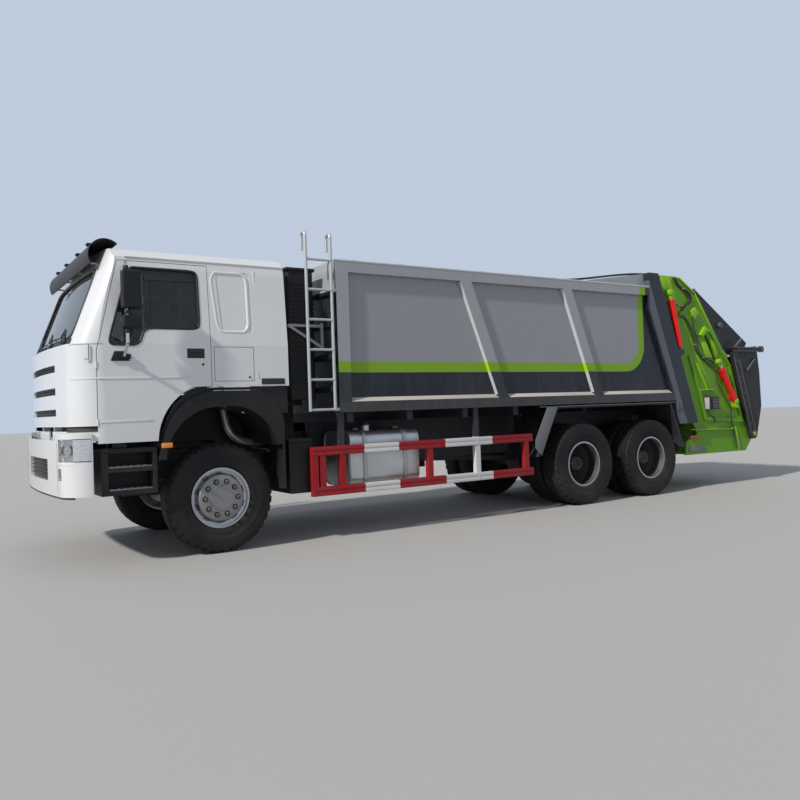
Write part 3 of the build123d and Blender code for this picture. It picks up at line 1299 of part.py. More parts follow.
# Packer carriage: a slanted panel inside the tailgate, its pins in the plates' slots, rods and eyes outside
panel_half = tailgate_half - 100
sweep_pivot = from_hinge(1340, 1270)
sweep_pin_radius = 25
carriage_top = from_hinge(980, 665)
carriage_thick = 100
carriage_lug_rows = ((panel_half - 32, panel_half), (340, 372))
carriage_run = Vector(carriage_top[0] - sweep_pivot[0], 0, carriage_top[1] - sweep_pivot[1])
carriage_length = carriage_run.length
carriage_run = carriage_run.normalized()


def leaning_panel(foot, run, start, end, thick, y0, y1, mode=Mode.ADD):
    """A flat panel across the truck: it runs from start to end along a run that begins at foot."""
    with BuildSketch(Plane(origin=along(foot, run, start, (y0 + y1) / 2), x_dir=(0, 1, 0),
                           z_dir=run)) as face:
        Rectangle(abs(y1 - y0), thick)
    extrude(face.sketch, amount=end - start, mode=mode)


with BuildPart() as carriage:
    leaning_panel(sweep_pivot, carriage_run, 75, carriage_length, carriage_thick, -panel_half, panel_half)
    for side in (1, -1):
        for lug_low, lug_high in carriage_lug_rows:
            rod_y(*sweep_pivot, 50, side * lug_low, side * lug_high)
            leaning_panel(sweep_pivot, carriage_run, 0, 80, 90, side * lug_low, side * lug_high)
        rod_y(*carriage_pin, carriage_pin_radius, side * panel_half, side * (packer_y + 35))
        rod_y(*carriage_pin, 60, side * (panel_half - 32), side * panel_half)
        rod_y(*carriage_pin, 42, side * (packer_y - 30), side * (packer_y + 30))
        rod_between(along(packer_foot, packer_run, 60, side * packer_y),
                    along(carriage_pin, packer_run, -10, side * packer_y), 24)
        rod_between(along(packer_foot, packer_run, 60, side * packer_y),
                    along(packer_foot, packer_run, 110, side * packer_y), cylinder_bore - turning_gap)
    rod_y(*sweep_pivot, sweep_pin_radius, -panel_half, panel_half)
save(carriage.part, "packer_carriage")

# Sweep panel: hangs from the carriage's pin and swings through the trough
sweep_length = 950
sweep_thick = 60
sweep_hub_radius = 52
lug_clear = 6
sweep_outer_row = (carriage_lug_rows[1][1] + lug_clear, carriage_lug_rows[0][0] - lug_clear)
sweep_middle = carriage_lug_rows[1][0] - lug_clear
sweep_hub_rows = ((-sweep_outer_row[1], -sweep_outer_row[0]), (-sweep_middle, sweep_middle), sweep_outer_row)
hang = Vector(0, 0, -1)
with BuildPart() as sweep_panel:
    leaning_panel(sweep_pivot, hang, 65, sweep_length, sweep_thick, -panel_half + 5, panel_half - 5)
    for row_low, row_high in sweep_hub_rows:
        rod_y(*sweep_pivot, sweep_hub_radius, row_low, row_high)
        leaning_panel(sweep_pivot, hang, 0, 70, sweep_thick, row_low, row_high)
    outline(side_plane(panel_half - 5), ((sweep_pivot[0] - 28, sweep_pivot[1] - sweep_length + 120),
                                         (sweep_pivot[0] - 110, sweep_pivot[1] - sweep_length),
                                         (sweep_pivot[0] + 30,
                                          sweep_pivot[1] - sweep_length)), 2 * panel_half - 10)
    rod_y(*sweep_pivot, sweep_pin_radius + turning_gap, -panel_half, panel_half, mode=Mode.SUBTRACT)
save(sweep_panel.part, "sweep_panel")

# Hopper cover: a slanted panel with side cheeks, hinged on the tailgate's shoulder
cover_half = tailgate_half - 50
cover_thick = 40
cover_cheek = 20
cover_end = from_hinge(2200, 920)
cover_run = Vector(cover_end[0] - cover_pin[0], 0, cover_end[1] - cover_pin[1])
cover_length = cover_run.length
cover_run = cover_run.normalized()
cover_hub_radius = 28
cover_hub_length = 36
cover_hub_rows = tuple((face + step * 2, face + step * (cover_hub_length + 2)) for row in cover_lug_rows
                       for face, step in ((row[1], 1), (row[0], -1)))
with BuildPart() as cover:
    leaning_panel(cover_pin, cover_run, 45, cover_length, cover_thick, -cover_half, cover_half)
    for side in (1, -1):
        for hub_low, hub_high in cover_hub_rows:
            rod_y(*cover_pin, cover_hub_radius, side * hub_low, side * hub_high)
            leaning_panel(cover_pin, cover_run, 0, 60, 36, side * hub_low, side * hub_high)
            rod_y(*cover_pin, cover_pin_radius + turning_gap, side * hub_low, side * hub_high,
                  mode=Mode.SUBTRACT)
        outline(side_plane(max(side * cover_half, side * (cover_half - cover_cheek))),
                (along(cover_pin, cover_run, 46, 0)[::2], along(cover_pin, cover_run, cover_length - 1,
                                                                0)[::2],
                 from_hinge(2180, 960), from_hinge(1780, 1110), from_hinge(1590, 1080),
                 from_hinge(1460, 880), from_hinge(1150, 470), from_hinge(990, 210)), cover_cheek)
save(cover.part, "hopper_cover")

# Bin loader: two posts with cheeks that turn on the tailgate's lower lugs, a back panel and two end bosses
loader_inner = tailgate_half + 15
loader_plate = 20
loader_outer = loader_inner + 60
loader_top = from_hinge(1710, 1060)
loader_rear_x = -overall_length / 2
loader_run = Vector(loader_top[0] - loader_pivot[0], 0, loader_top[1] - loader_pivot[1])
loader_length = loader_run.length
loader_run = loader_run.normalized()
loader_back = (from_hinge(2370, 1090), from_hinge(2410, 1370), from_hinge(2430, 1930),
               from_hinge(2320, 2290))
with BuildPart() as loader:
    for side in (1, -1):
        outline(side_plane(max(side * loader_inner, side * (loader_inner + loader_plate))),
                (from_hinge(1710, 1020), from_hinge(2350, 960), *loader_back,
                 from_hinge(2290, 2390), from_hinge(2090, 2420)), loader_plate)
        leaning_panel(loader_pivot, loader_run, 0, loader_length, 140, side * loader_inner,
                      side * loader_outer)
        rod_y(*loader_pivot, 80, side * loader_inner, side * (loader_outer + 10))
        rod_y(*loader_pivot, loader_pin_radius, side * (plate_inner - 6), side * loader_inner)
        block(loader_top[0] - 60, loader_rear_x + 60, side * loader_inner, side * loader_outer,
              loader_top[1] + 10,
              loader_top[1] + 70)
        rod_y(loader_rear_x + 50, loader_top[1] + 50, 50, side * loader_inner, side * loader_outer)
    outline(side_plane(loader_inner), (*loader_back, *((x + 30, z) for x, z in reversed(loader_back))),
            2 * loader_inner)
save(loader.part, "folding_loader")

# Tail boxes: the lamp and switch boxes on the tailgate's side plates
box_front_x, box_low_z = from_hinge(990, 1950)
box_rear_x, box_high_z = from_hinge(1230, 1765)
box_depth = 95
with BuildPart() as tail_boxes:
    for side in (1, -1):
        block(box_rear_x, box_front_x, side * tailgate_half, side * (tailgate_half + box_depth), box_low_z,
              box_high_z)
save(tail_boxes.part, "tail_boxes")
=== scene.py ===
"""Finish of the garbage truck: paint, rubber, glass, lamps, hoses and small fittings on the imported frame."""

import math

import bpy
from mathutils import Matrix, Vector


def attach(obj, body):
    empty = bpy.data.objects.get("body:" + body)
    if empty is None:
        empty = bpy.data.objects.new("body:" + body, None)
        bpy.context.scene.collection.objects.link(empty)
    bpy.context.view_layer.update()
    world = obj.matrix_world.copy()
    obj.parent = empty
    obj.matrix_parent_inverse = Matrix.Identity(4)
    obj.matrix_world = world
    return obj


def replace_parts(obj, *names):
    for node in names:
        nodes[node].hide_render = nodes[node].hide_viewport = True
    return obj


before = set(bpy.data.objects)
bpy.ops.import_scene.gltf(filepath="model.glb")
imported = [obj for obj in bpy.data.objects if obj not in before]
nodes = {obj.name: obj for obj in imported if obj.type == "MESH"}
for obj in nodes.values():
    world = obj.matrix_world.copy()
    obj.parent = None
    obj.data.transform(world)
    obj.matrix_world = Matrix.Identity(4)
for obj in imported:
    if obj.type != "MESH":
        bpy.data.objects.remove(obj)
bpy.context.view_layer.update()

# Camera, floor and light
# The camera stands at eye height to the left of the truck's nose, as in the photograph. The floor is a wide
# pale disc under a pale blue backdrop, lit by a soft sun from ahead of the truck and by an even sky.
bpy.ops.object.camera_add(location=(6.5102, 8.5129, 1.365), rotation=(1.58181, 0.034325, 2.564872))
camera = bpy.context.object
camera.data.lens = 34.71
camera.data.sensor_width = 36
camera.data.clip_end = 400
bpy.context.scene.camera = camera
bpy.context.scene.view_settings.view_transform = "Standard"


def feed(node, inputs):
    """Sets a shader node's inputs to numbers or colours, or links them to other nodes' sockets."""
    for label, value in inputs.items():
        if isinstance(value, bpy.types.NodeSocket):
            node.id_data.links.new(value, node.inputs[label])
        else:
            node.inputs[label].default_value = value


def node_of(tree, kind, inputs=None, **settings):
    """A new shader node with its settings made and its inputs fed."""
    node = tree.nodes.new(f"ShaderNode{kind}")
    for label, value in settings.items():
        setattr(node, label, value)
    feed(node, inputs or {})
    return node


def math_node(tree, operation, first, second=0.0, clamp=False):
    """A math node fed by two sockets or numbers."""
    return node_of(tree, "Math", {0: first, 1: second}, operation=operation, use_clamp=clamp).outputs[0]


def new_material(name):
    """A material, its node tree and its surface node."""
    material = bpy.data.materials.new(name)
    material.use_nodes = True
    return material, material.node_tree, material.node_tree.nodes["Principled BSDF"]


bpy.ops.mesh.primitive_circle_add(vertices=96, radius=90, fill_type="NGON", location=(0, 0, 0))
floor = bpy.context.object
floor.name = "studio_floor"
floor_paint, tree, surface = new_material("studio_floor")
feed(surface, {"Base Color": (0.43, 0.415, 0.4, 1), "Roughness": 0.85})
floor.data.materials.append(floor_paint)

sky = bpy.data.worlds.new("studio_sky")
sky.use_nodes = True
bpy.context.scene.world = sky
tree = sky.node_tree
glow = tree.nodes["Background"]
feed(glow, {"Color": (0.8, 0.88, 1.0, 1), "Strength": 0.46})
backdrop = node_of(tree, "Background", {"Color": (0.52, 0.6, 0.72, 1), "Strength": 1.0})
ray = node_of(tree, "LightPath").outputs
seen = math_node(tree, "MAXIMUM", ray["Is Camera Ray"], ray["Is Glossy Ray"])
seen = math_node(tree, "MAXIMUM", seen, ray["Is Transmission Ray"])
pick = node_of(tree, "MixShader", {"Fac": seen, 1: glow.outputs[0], 2: backdrop.outputs[0]})
feed(tree.nodes["World Output"], {"Surface": pick.outputs[0]})

bpy.ops.object.light_add(type="SUN", location=(8, 3, 9))
sun = bpy.context.object
sun.rotation_euler = Vector((0.77, 0.165, 0.615)).to_track_quat("Z", "Y").to_euler()
sun.data.energy = 3.3
sun.data.angle = math.radians(2.5)
sun.data.color = (1.0, 0.97, 0.92)

# Chassis paint
# Frame rails, subframe and bearers are welded from dark painted steel. Every painted sheet carries road
# dust that thins out with height, and the faint waves of rolled and welded plate.


def new_group(name, inputs, *outputs):
    """An empty shader node group, with what it is given and what it gives."""
    group = bpy.data.node_groups.new(name, "ShaderNodeTree")
    for label, value in inputs.items():
        kind = "NodeSocketColor" if isinstance(value, tuple) else "NodeSocketFloat"
        group.interface.new_socket(label, in_out="INPUT", socket_type=kind).default_value = value
    for label, kind in outputs:
        group.interface.new_socket(label, in_out="OUTPUT", socket_type=kind)
    return group, group.nodes.new("NodeGroupInput").outputs, group.nodes.new("NodeGroupOutput")


def own_place(tree):
    """The object's own place, whole and split into X, Y and Z."""
    place = node_of(tree, "TexCoord").outputs["Object"]
    return place, node_of(tree, "SeparateXYZ", {0: place}).outputs


def speckle(tree, where, scale, detail, low, high):
    """Noise on the object's own place, stretched between low and high."""
    noise = node_of(tree, "TexNoise", {"Vector": where, "Scale": scale, "Detail": detail})
    spread = node_of(tree, "MapRange", {"Value": noise.outputs["Fac"], "From Min": low, "From Max": high})
    return spread.outputs["Result"]


def over(tree, below, above, share):
    """One colour laid over another by a mask."""
    below, above = ((*color, 1) if isinstance(color, tuple) else color for color in (below, above))
    lay = node_of(tree, "Mix", {"Factor": share, "A": below, "B": above}, data_type="RGBA")
    return lay.outputs["Result"]


road_dust, given, result = new_group("road_dust", {"Paint": (0.5, 0.5, 0.5, 1), "Dust": (0.19, 0.172, 0.15, 1),
                                                   "Top": 1.6, "Amount": 0.5, "Clean Roughness": 0.35},
                                     ("Color", "NodeSocketColor"), ("Roughness", "NodeSocketFloat"))
place, axes = own_place(road_dust)
fade = node_of(road_dust, "MapRange", {"Value": axes["Z"], "From Min": 0.1, "From Max": given["Top"],
                                       "To Min": 1, "To Max": 0.12})
clouds = speckle(road_dust, place, 2.3, 8, 0.36, 0.66)
grains = math_node(road_dust, "MULTIPLY", speckle(road_dust, place, 70, 4, 0.35, 0.75), 0.5)
mixed = math_node(road_dust, "MULTIPLY", math_node(road_dust, "ADD", clouds, grains), fade.outputs[0])
mask = math_node(road_dust, "MULTIPLY", mixed, given["Amount"], clamp=True)
dull = node_of(road_dust, "Mix", {"Factor": mask, "A": given["Clean Roughness"], "B": 0.85})
feed(result, {"Color": over(road_dust, given["Paint"], given["Dust"], mask),
              "Roughness": dull.outputs["Result"]})

plate_waves, given, result = new_group("plate_waves", {"Scale": 6.0, "Height": 0.002, "Grain": 0.0},
                                       ("Height", "NodeSocketFloat"))
place = own_place(plate_waves)[0]
long_wave = node_of(plate_waves, "TexNoise", {"Detail": 2, "Vector": place, "Scale": given["Scale"]})
rise = math_node(plate_waves, "MULTIPLY", long_wave.outputs["Fac"], given["Height"])
fine = math_node(plate_waves, "MULTIPLY", speckle(plate_waves, place, 420, 3, 0.2, 0.8), given["Grain"])
feed(result, {"Height": math_node(plate_waves, "ADD", rise, fine)})


def finish_of(name, color, roughness, metallic=0.0, dust=0.4, dust_top=1.6, waves=6.0, wave_height=0.002,
              grain=0.0, coat=0.0, shine=0.5):
    """A material whose colour and roughness pass through the road dust, with the plate's waves as bump."""
    material, tree, surface = new_material(name)
    dirt = node_of(tree, "Group", {"Paint": (*color, 1), "Amount": dust, "Top": dust_top,
                                   "Clean Roughness": roughness}, node_tree=road_dust, name="dirt").outputs
    ripple = node_of(tree, "Group", {"Scale": waves, "Height": wave_height, "Grain": grain},
                     node_tree=plate_waves)
    bump = node_of(tree, "Bump", {"Strength": 0.5, "Distance": 1.0, "Height": ripple.outputs["Height"]})
    feed(surface, {"Metallic": metallic, "Specular IOR Level": shine, "Coat Weight": coat,
                   "Coat Roughness": 0.08, "Base Color": dirt["Color"], "Roughness": dirt["Roughness"],
                   "Normal": bump.outputs["Normal"]})
    return material


def dress(material, *names):
    """Gives CAD nodes a material."""
    for name in names:
        nodes[name].data.materials.clear()
        nodes[name].data.materials.append(material)


chassis_paint = finish_of("chassis_paint", (0.02, 0.022, 0.027), 0.5, dust=0.3, dust_top=1.5, shine=0.3)
dress(chassis_paint, "frame_rails", "subframe", "leaf_springs", "frame_crossmembers", "body_bearers")
cast_iron = finish_of("cast_iron", (0.05, 0.05, 0.052), 0.6, dust=0.7, dust_top=1.4, waves=30,
                      wave_height=0.004, grain=0.0006)
dress(cast_iron, "front_axle", "rear_axles", "engine_block", "gearbox", "knuckle_left", "knuckle_right")

# Tyres
# Road tyres of black rubber on ten rims: four deep grooves round the tread, square lugs along both
# shoulders, and raised rings on the sidewalls. Each is turned from its section and its lugs are cut after.


def nothing_selected():
    """Leaves edit mode and deselects every object."""
    if bpy.context.object and bpy.context.object.mode != "OBJECT":
        bpy.ops.object.mode_set(mode="OBJECT")
    bpy.ops.object.select_all(action="DESELECT")


def only(piece):
    """Selects one object alone and makes it the active one."""
    nothing_selected()
    piece.select_set(True)
    bpy.context.view_layer.objects.active = piece


def pick_faces(piece, wanted):
    """Selects, in edit mode, the faces for which wanted(face) is true."""
    bpy.ops.object.mode_set(mode="EDIT")
    bpy.ops.mesh.select_all(action="DESELECT")
    bpy.ops.object.mode_set(mode="OBJECT")
    for face in piece.data.polygons:
        face.select = bool(wanted(face))
    bpy.ops.object.mode_set(mode="EDIT")
    bpy.ops.mesh.select_mode(type="FACE")


def turned(name, section, centre, side, steps):
    """A closed section of (outward distance, radius) points, spun about an axle at centre along Y."""
    nothing_selected()
    bpy.ops.mesh.primitive_circle_add(vertices=len(section), radius=0.1)
    piece = bpy.context.object
    piece.name = name
    piece.location = (0, 0, 0)
    for point, (out, radius) in zip(piece.data.vertices, section):
        point.co = (centre[0], side * out, centre[1] + radius)
    bpy.ops.object.mode_set(mode="EDIT")
    bpy.ops.mesh.select_all(action="SELECT")
    bpy.ops.mesh.spin(steps=steps, angle=2 * math.pi, center=(centre[0], 0, centre[1]), axis=(0, 1, 0))
    bpy.ops.mesh.select_all(action="SELECT")
    bpy.ops.mesh.remove_doubles(threshold=0.0002)
    bpy.ops.mesh.normals_make_consistent(inside=False)
    bpy.ops.object.mode_set(mode="OBJECT")
    return piece


def finished(piece, material, body, angle=35):
    """Gives a modelled piece its place in the frame, its finish and its body."""
    only(piece)
    bpy.ops.object.transform_apply(location=True, rotation=True, scale=True)
    bpy.ops.object.shade_smooth_by_angle(angle=math.radians(angle))
    piece.data.materials.clear()
    piece.data.materials.append(material)
    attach(piece, body)
    return piece


SIDES = ((1, "left"), (-1, "right"))
rubber = finish_of("tyre_rubber", (0.008, 0.008, 0.009), 0.66, dust=0.14, dust_top=1.1, waves=14,
                   wave_height=0.0016, grain=0.0005, shine=0.25)
axle_height = 0.5425
front_axle_x = 3.85
rear_axles = ((1, -1.15), (2, -2.5))
sidewall = [(0.1, 0.287), (0.104, 0.304), (0.122, 0.313), (0.132, 0.33), (0.1325, 0.342), (0.1355, 0.344),
            (0.137, 0.356), (0.135, 0.358), (0.1465, 0.4), (0.149, 0.402), (0.1495, 0.414), (0.148, 0.416),
            (0.149, 0.44), (0.147, 0.47), (0.144, 0.492), (0.1405, 0.51), (0.133, 0.524)]
crown = [(0.122, 0.5345), (0.098, 0.5405), (0.09, 0.527), (0.084, 0.527), (0.08, 0.5418), (0.042, 0.5424),
         (0.038, 0.528), (0.031, 0.528), (0.027, 0.5425)]


def tyre_at(name, axle_x, middle, side, body):
    """One tyre, with a lug cut across its shoulders at every third step of its turning."""
    steps, every = 108, 3
    half = sidewall + crown
    section = [(middle + out, radius) for out, radius in half]
    section += [(middle - out, radius) for out, radius in reversed(half)]
    piece = turned(name, section, (axle_x, axle_height), side, steps)

    def shoulder(face):
        out = abs(face.center.y - side * middle)
        radius = math.hypot(face.center.x - axle_x, face.center.z - axle_height)
        turn = math.degrees(math.atan2(face.center.z - axle_height, face.center.x - axle_x)) % 360
        return 0.092 < out < 0.14 and radius > 0.515 and int(turn / (360 / steps)) % every == 0

    pick_faces(piece, shoulder)
    bpy.ops.mesh.extrude_region_shrink_fatten(TRANSFORM_OT_shrink_fatten={"value": -0.011})
    bpy.ops.object.mode_set(mode="OBJECT")
    return finished(piece, rubber, body, angle=28)


for side, word in SIDES:
    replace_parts(tyre_at(f"tread_front_{word}", front_axle_x, 1.011, side, f"front_wheel_{word}"),
                f"front_tyre_{word}")
    for number, axle_x in rear_axles:
        name, wheels = f"tread_rear_{number}_{word}", f"rear_wheels_{number}_{word}"
        outer = tyre_at(f"{name}_outer", axle_x, 1.0875, side, wheels)
        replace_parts(outer, f"rear_tyres_{number}_{word}")
        tyre_at(f"{name}_inner", axle_x, 0.7425, side, wheels)

# Wheel rims
# Pressed steel wheels painted silver. Ten nuts hold each disc to its hub; the front discs stand out, with
# short slots round their edge, and the rear discs lie deep between the twin tyres. The slots and the rings
# round the nuts are black as painted shadow; inside the outer ring the rear rims, their dishes and hub caps
# are near black as painted shade deep between the twin tyres. A valve crosses each rim.


def bar(name, x0, x1, y0, y1, z0, z1, bevel=0.004, segments=2):
    """A straight bar or plate between two corners, with eased edges."""
    nothing_selected()
    bpy.ops.mesh.primitive_cube_add(size=1, location=((x0 + x1) / 2, (y0 + y1) / 2, (z0 + z1) / 2))
    piece = bpy.context.object
    piece.name = name
    piece.scale = (abs(x1 - x0), abs(y1 - y0), abs(z1 - z0))
    bpy.ops.object.transform_apply(location=True, rotation=True, scale=True)
    if bevel:
        ease(piece, bevel, segments)
    return piece


def applied(piece, label, kind, **settings):
    """Adds a modifier to a piece and applies it."""
    only(piece)
    modifier = piece.modifiers.new(label, kind)
    for name, value in settings.items():
        setattr(modifier, name, value)
    bpy.ops.object.modifier_apply(modifier=label)


def ease(piece, width, segments=2, limit=30):
    """Rounds a piece's sharp edges."""
    applied(piece, "edge", "BEVEL", width=width, segments=segments, limit_method="ANGLE",
            angle_limit=math.radians(limit))


def disc(name, start, end, radius, sides=24, bevel=0.0, tip=None):
    """A round or many-sided bar from start to end; tip is the end's radius where it tapers."""
    start, end = Vector(start), Vector(end)
    nothing_selected()
    bpy.ops.mesh.primitive_cone_add(vertices=sides, radius1=radius, radius2=radius if tip is None else tip,
                                    depth=(end - start).length, location=(start + end) / 2,
                                    rotation=(end - start).to_track_quat("Z", "Y").to_euler())
    piece = bpy.context.object
    piece.name = name
    bpy.ops.object.transform_apply(location=True, rotation=True, scale=True)
    if bevel:
        ease(piece, bevel, 2, 50)
    return piece


def pin(name, x, z, y0, y1, radius, sides=24, bevel=0.0):
    """A round or many-sided bar along Y, between two Y at x and z."""
    return disc(name, (x, y0, z), (x, y1, z), radius, sides, bevel)


def joined(name, pieces):
    """Joins pieces into one object."""
    nothing_selected()
    for piece in pieces:
        piece.select_set(True)
    bpy.context.view_layer.objects.active = pieces[0]
    bpy.ops.object.join()
    pieces[0].name = name
    return pieces[0]


def fitted(name, pieces, material, body):
    """Joins pieces into one object and finishes it."""
    return finished(joined(name, pieces), material, body)


def copy_of(piece, name, change):
    """A copy with its own mesh, moved by a matrix; a mirrored copy is turned right side out again."""
    copy = piece.copy()
    copy.data = piece.data.copy()
    copy.name = name
    bpy.context.collection.objects.link(copy)
    copy.data.transform(change)
    if change.determinant() < 0:
        copy.data.flip_normals()
    return copy


def ring_of(name, piece, count, centre, first=0.0):
    """A piece repeated round an axle along Y at centre (x, z), joined into one object."""
    axle = Vector((centre[0], 0, centre[1]))
    copies = []
    for number in range(count):
        turn = Matrix.Rotation(math.radians(first) + 2 * math.pi * number / count, 4, "Y")
        copies.append(copy_of(piece, f"{name}_{number}",
                              Matrix.Translation(axle) @ turn @ Matrix.Translation(-axle)))
    bpy.data.objects.remove(piece)
    return joined(name, copies)


ACROSS = Matrix.Scale(-1, 4, (0, 1, 0))
rim_paint = finish_of("rim_silver", (0.46, 0.47, 0.49), 0.24, metallic=0.85, dust=0.2, dust_top=1.2, waves=10,
                      wave_height=0.0006)
dress(rim_paint, "front_rim_left", "front_rim_right")
rear_paint = finish_of("rear_rim_paint", (0.46, 0.47, 0.49), 0.3, metallic=0.6, dust=0.2, dust_top=1.2,
                       waves=10, wave_height=0.0006)
# inside the outer ring the rear rims are painted near black: painted shade deep between the twin tyres
tree = rear_paint.node_tree
place, axes = own_place(tree)
outer = math_node(tree, "GREATER_THAN", math_node(tree, "ABSOLUTE", axes["Y"]), 1.12)
feed(tree.nodes["dirt"], {"Paint": over(tree, (0.02, 0.02, 0.022), (0.46, 0.47, 0.49), outer)})
feed(tree.nodes["Principled BSDF"], {"Metallic": math_node(tree, "MULTIPLY", outer, 0.85)})
dress(rear_paint, "rear_rims_1_left", "rear_rims_1_right", "rear_rims_2_left", "rear_rims_2_right")
nut_steel = finish_of("nut_steel", (0.42, 0.4, 0.36), 0.34, metallic=0.9, dust=0.45, dust_top=1.2)
nut_dark = finish_of("nut_dark", (0.045, 0.042, 0.038), 0.45, metallic=0.6, dust=0.15, dust_top=1.2)
nut_brass = finish_of("stud_end", (0.4, 0.32, 0.2), 0.36, metallic=0.8, dust=0.2, dust_top=1.2)
hub_grey = finish_of("hub_grey", (0.26, 0.265, 0.275), 0.42, metallic=0.5, dust=0.2, dust_top=1.2)
# near black for the rear wheels' dishes and hub caps: painted shade deep inside the twin wheels
dish_black = finish_of("dish_black", (0.014, 0.014, 0.015), 0.6, dust=0.2, dust_top=1.2, shine=0.25)
# black for the front discs' slots and the rings round the nuts: painted shadow
slot_black = finish_of("shadow_slot", (0.01, 0.01, 0.011), 0.9, dust=0.15)
bolt_circle = 0.1675
wheel_sets = [(f"front_wheel_{word}", front_axle_x, 1.144, side) for side, word in SIDES]
for number, axle_x in rear_axles:
    wheel_sets += [(f"rear_wheels_{number}_{word}", axle_x, 0.929, side) for side, word in SIDES]
for wheel, axle_x, face_y, side in wheel_sets:
    front = wheel.startswith("front")
    axle = (axle_x, axle_height)
    fixings = (("nut_seats", -0.002, 0.003, 0.0285, 24, 0.0, slot_black),
               ("wheel_nuts", 0.002, 0.024, 0.0175, 6, 0.002, nut_brass if front else nut_dark),
               ("wheel_studs", 0.02, 0.036, 0.01, 12, 0.0015, nut_dark))
    for label, y0, y1, radius, sides, bevel, steel in fixings:
        y0, y1 = side * (face_y + y0), side * (face_y + y1)
        one = pin(label, axle_x, axle_height + bolt_circle, y0, y1, radius, sides, bevel)
        finished(ring_of(f"{label}_{wheel}", one, 10, axle, 18), steel, wheel)
    if front:
        height = axle_height + 0.236
        slit = bar("slit", axle_x - 0.03, axle_x + 0.03, side * 1.104, side * 1.1235, height - 0.007,
                   height + 0.008, 0.004, 3)
        finished(ring_of(f"hand_slots_{wheel}", slit, 10, axle), slot_black, wheel)
        raised = [(1.078, 0.25), (1.105, 0.242), (1.13, 0.231), (1.1405, 0.223), (1.144, 0.213), (1.144, 0.124),
                  (1.1475, 0.1215), (1.1475, 0.001), (1.139, 0.001), (1.139, 0.211), (1.126, 0.226),
                  (1.1, 0.237), (1.075, 0.247)]
        finished(turned(f"wheel_disc_{wheel}", raised, axle, side, 72), hub_grey, wheel)
    else:
        dish = [(0.9295, 0.082), (0.933, 0.084), (0.933, 0.196), (1.0215, 0.2735), (1.115, 0.2742),
                (1.115, 0.2768), (1.0185, 0.2765), (0.9295, 0.202)]
        finished(turned(f"dish_{wheel}", dish, axle, side, 60), dish_black, wheel)
        cap = [(1.0795, 0.001), (1.088, 0.003), (1.089, 0.05), (1.085, 0.058), (1.085, 0.07), (1.0795, 0.076)]
        finished(turned(f"hub_cap_{wheel}", cap, axle, side, 40), dish_black, wheel)
        bolt = pin("bolt", axle_x, axle_height + 0.064, side * 1.0845, side * 1.091, 0.006, 6)
        finished(ring_of(f"hub_bolts_{wheel}", bolt, 8, axle), nut_steel, wheel)
    lip_out = 1.126 if front else 1.2025
    lip = [(lip_out - 0.012, 0.2775), (lip_out, 0.279), (lip_out + 0.002, 0.29), (lip_out, 0.2985),
           (lip_out - 0.012, 0.3), (lip_out - 0.014, 0.289)]
    finished(turned(f"rim_lip_{wheel}", lip, axle, side, 72), rim_paint, wheel)
    valve = disc(f"valve_{wheel}", (axle_x + 0.236, side * (lip_out - 0.045), axle_height + 0.02),
                 (axle_x + 0.225, side * (lip_out - 0.006), axle_height + 0.02), 0.0045, 10)
    finished(valve, nut_brass, wheel)

# Side guards
# Two long steel rails on posts down each side, bolted to stays under the sill. They are painted in red and
# white lengths, and a shallow rolled groove runs along the middle of each rail.
guard_paint = finish_of("guard_paint", (0.66, 0.65, 0.66), 0.4, dust=0.14, dust_top=1.5, waves=9,
                        wave_height=0.002, shine=0.3)
tree = guard_paint.node_tree
place, axes = own_place(tree)
share = None
for low, high in ((2.258, 2.95), (1.161, 1.808), (-0.3, 0.452)):
    inside = math_node(tree, "MULTIPLY", math_node(tree, "GREATER_THAN", axes["X"], low),
                       math_node(tree, "LESS_THAN", axes["X"], high))
    share = inside if share is None else math_node(tree, "ADD", share, inside, clamp=True)
worn = math_node(tree, "MULTIPLY", share, speckle(tree, place, 34, 8, 0.22, 0.27))
coat = over(tree, (0.66, 0.65, 0.66), (0.31, 0.004, 0.01), worn)
under_sill = math_node(tree, "GREATER_THAN", axes["Z"], 0.996)
feed(tree.nodes["dirt"], {"Paint": over(tree, coat, (0.03, 0.03, 0.034), under_sill)})
dress(guard_paint, "side_guards")
for side, word in SIDES:
    for low, label in ((0.47, "low"), (0.895, "high")):
        beads = [bar("bead", -0.208, 2.888, side * 1.2345, side * 1.2405, z, z + 0.034, 0.0028, 3)
                 for z in (low + 0.004, low + 0.057)]
        fitted(f"guard_beads_{label}_{word}", beads, guard_paint, "chassis")
    bolts = [pin("bolt", x, z, side * 1.239, side * 1.246, 0.011, 6, 0.001)
             for x in (2.855, 2.765, 2.525, 1.375, 0.675, -0.105) for z in (0.5175, 0.9425)]
    fitted(f"guard_bolts_{word}", bolts, guard_paint, "chassis")

# Fuel tank and silencer box
# The tank is brushed aluminium with a seam round each end, held by two buckled steel straps and filled through
# a black cap on a short neck. The silencer's box on the other side is a plain box of the same metal.
tank_metal = finish_of("tank_metal", (0.6, 0.61, 0.62), 0.33, metallic=0.85, dust=0.35, dust_top=1.3, waves=4,
                       wave_height=0.003, grain=0.0003)
dress(tank_metal, "fuel_tank", "silencer_box")
strap_steel = finish_of("strap_steel", (0.46, 0.47, 0.48), 0.38, metallic=0.7, dust=0.2, dust_top=1.3)


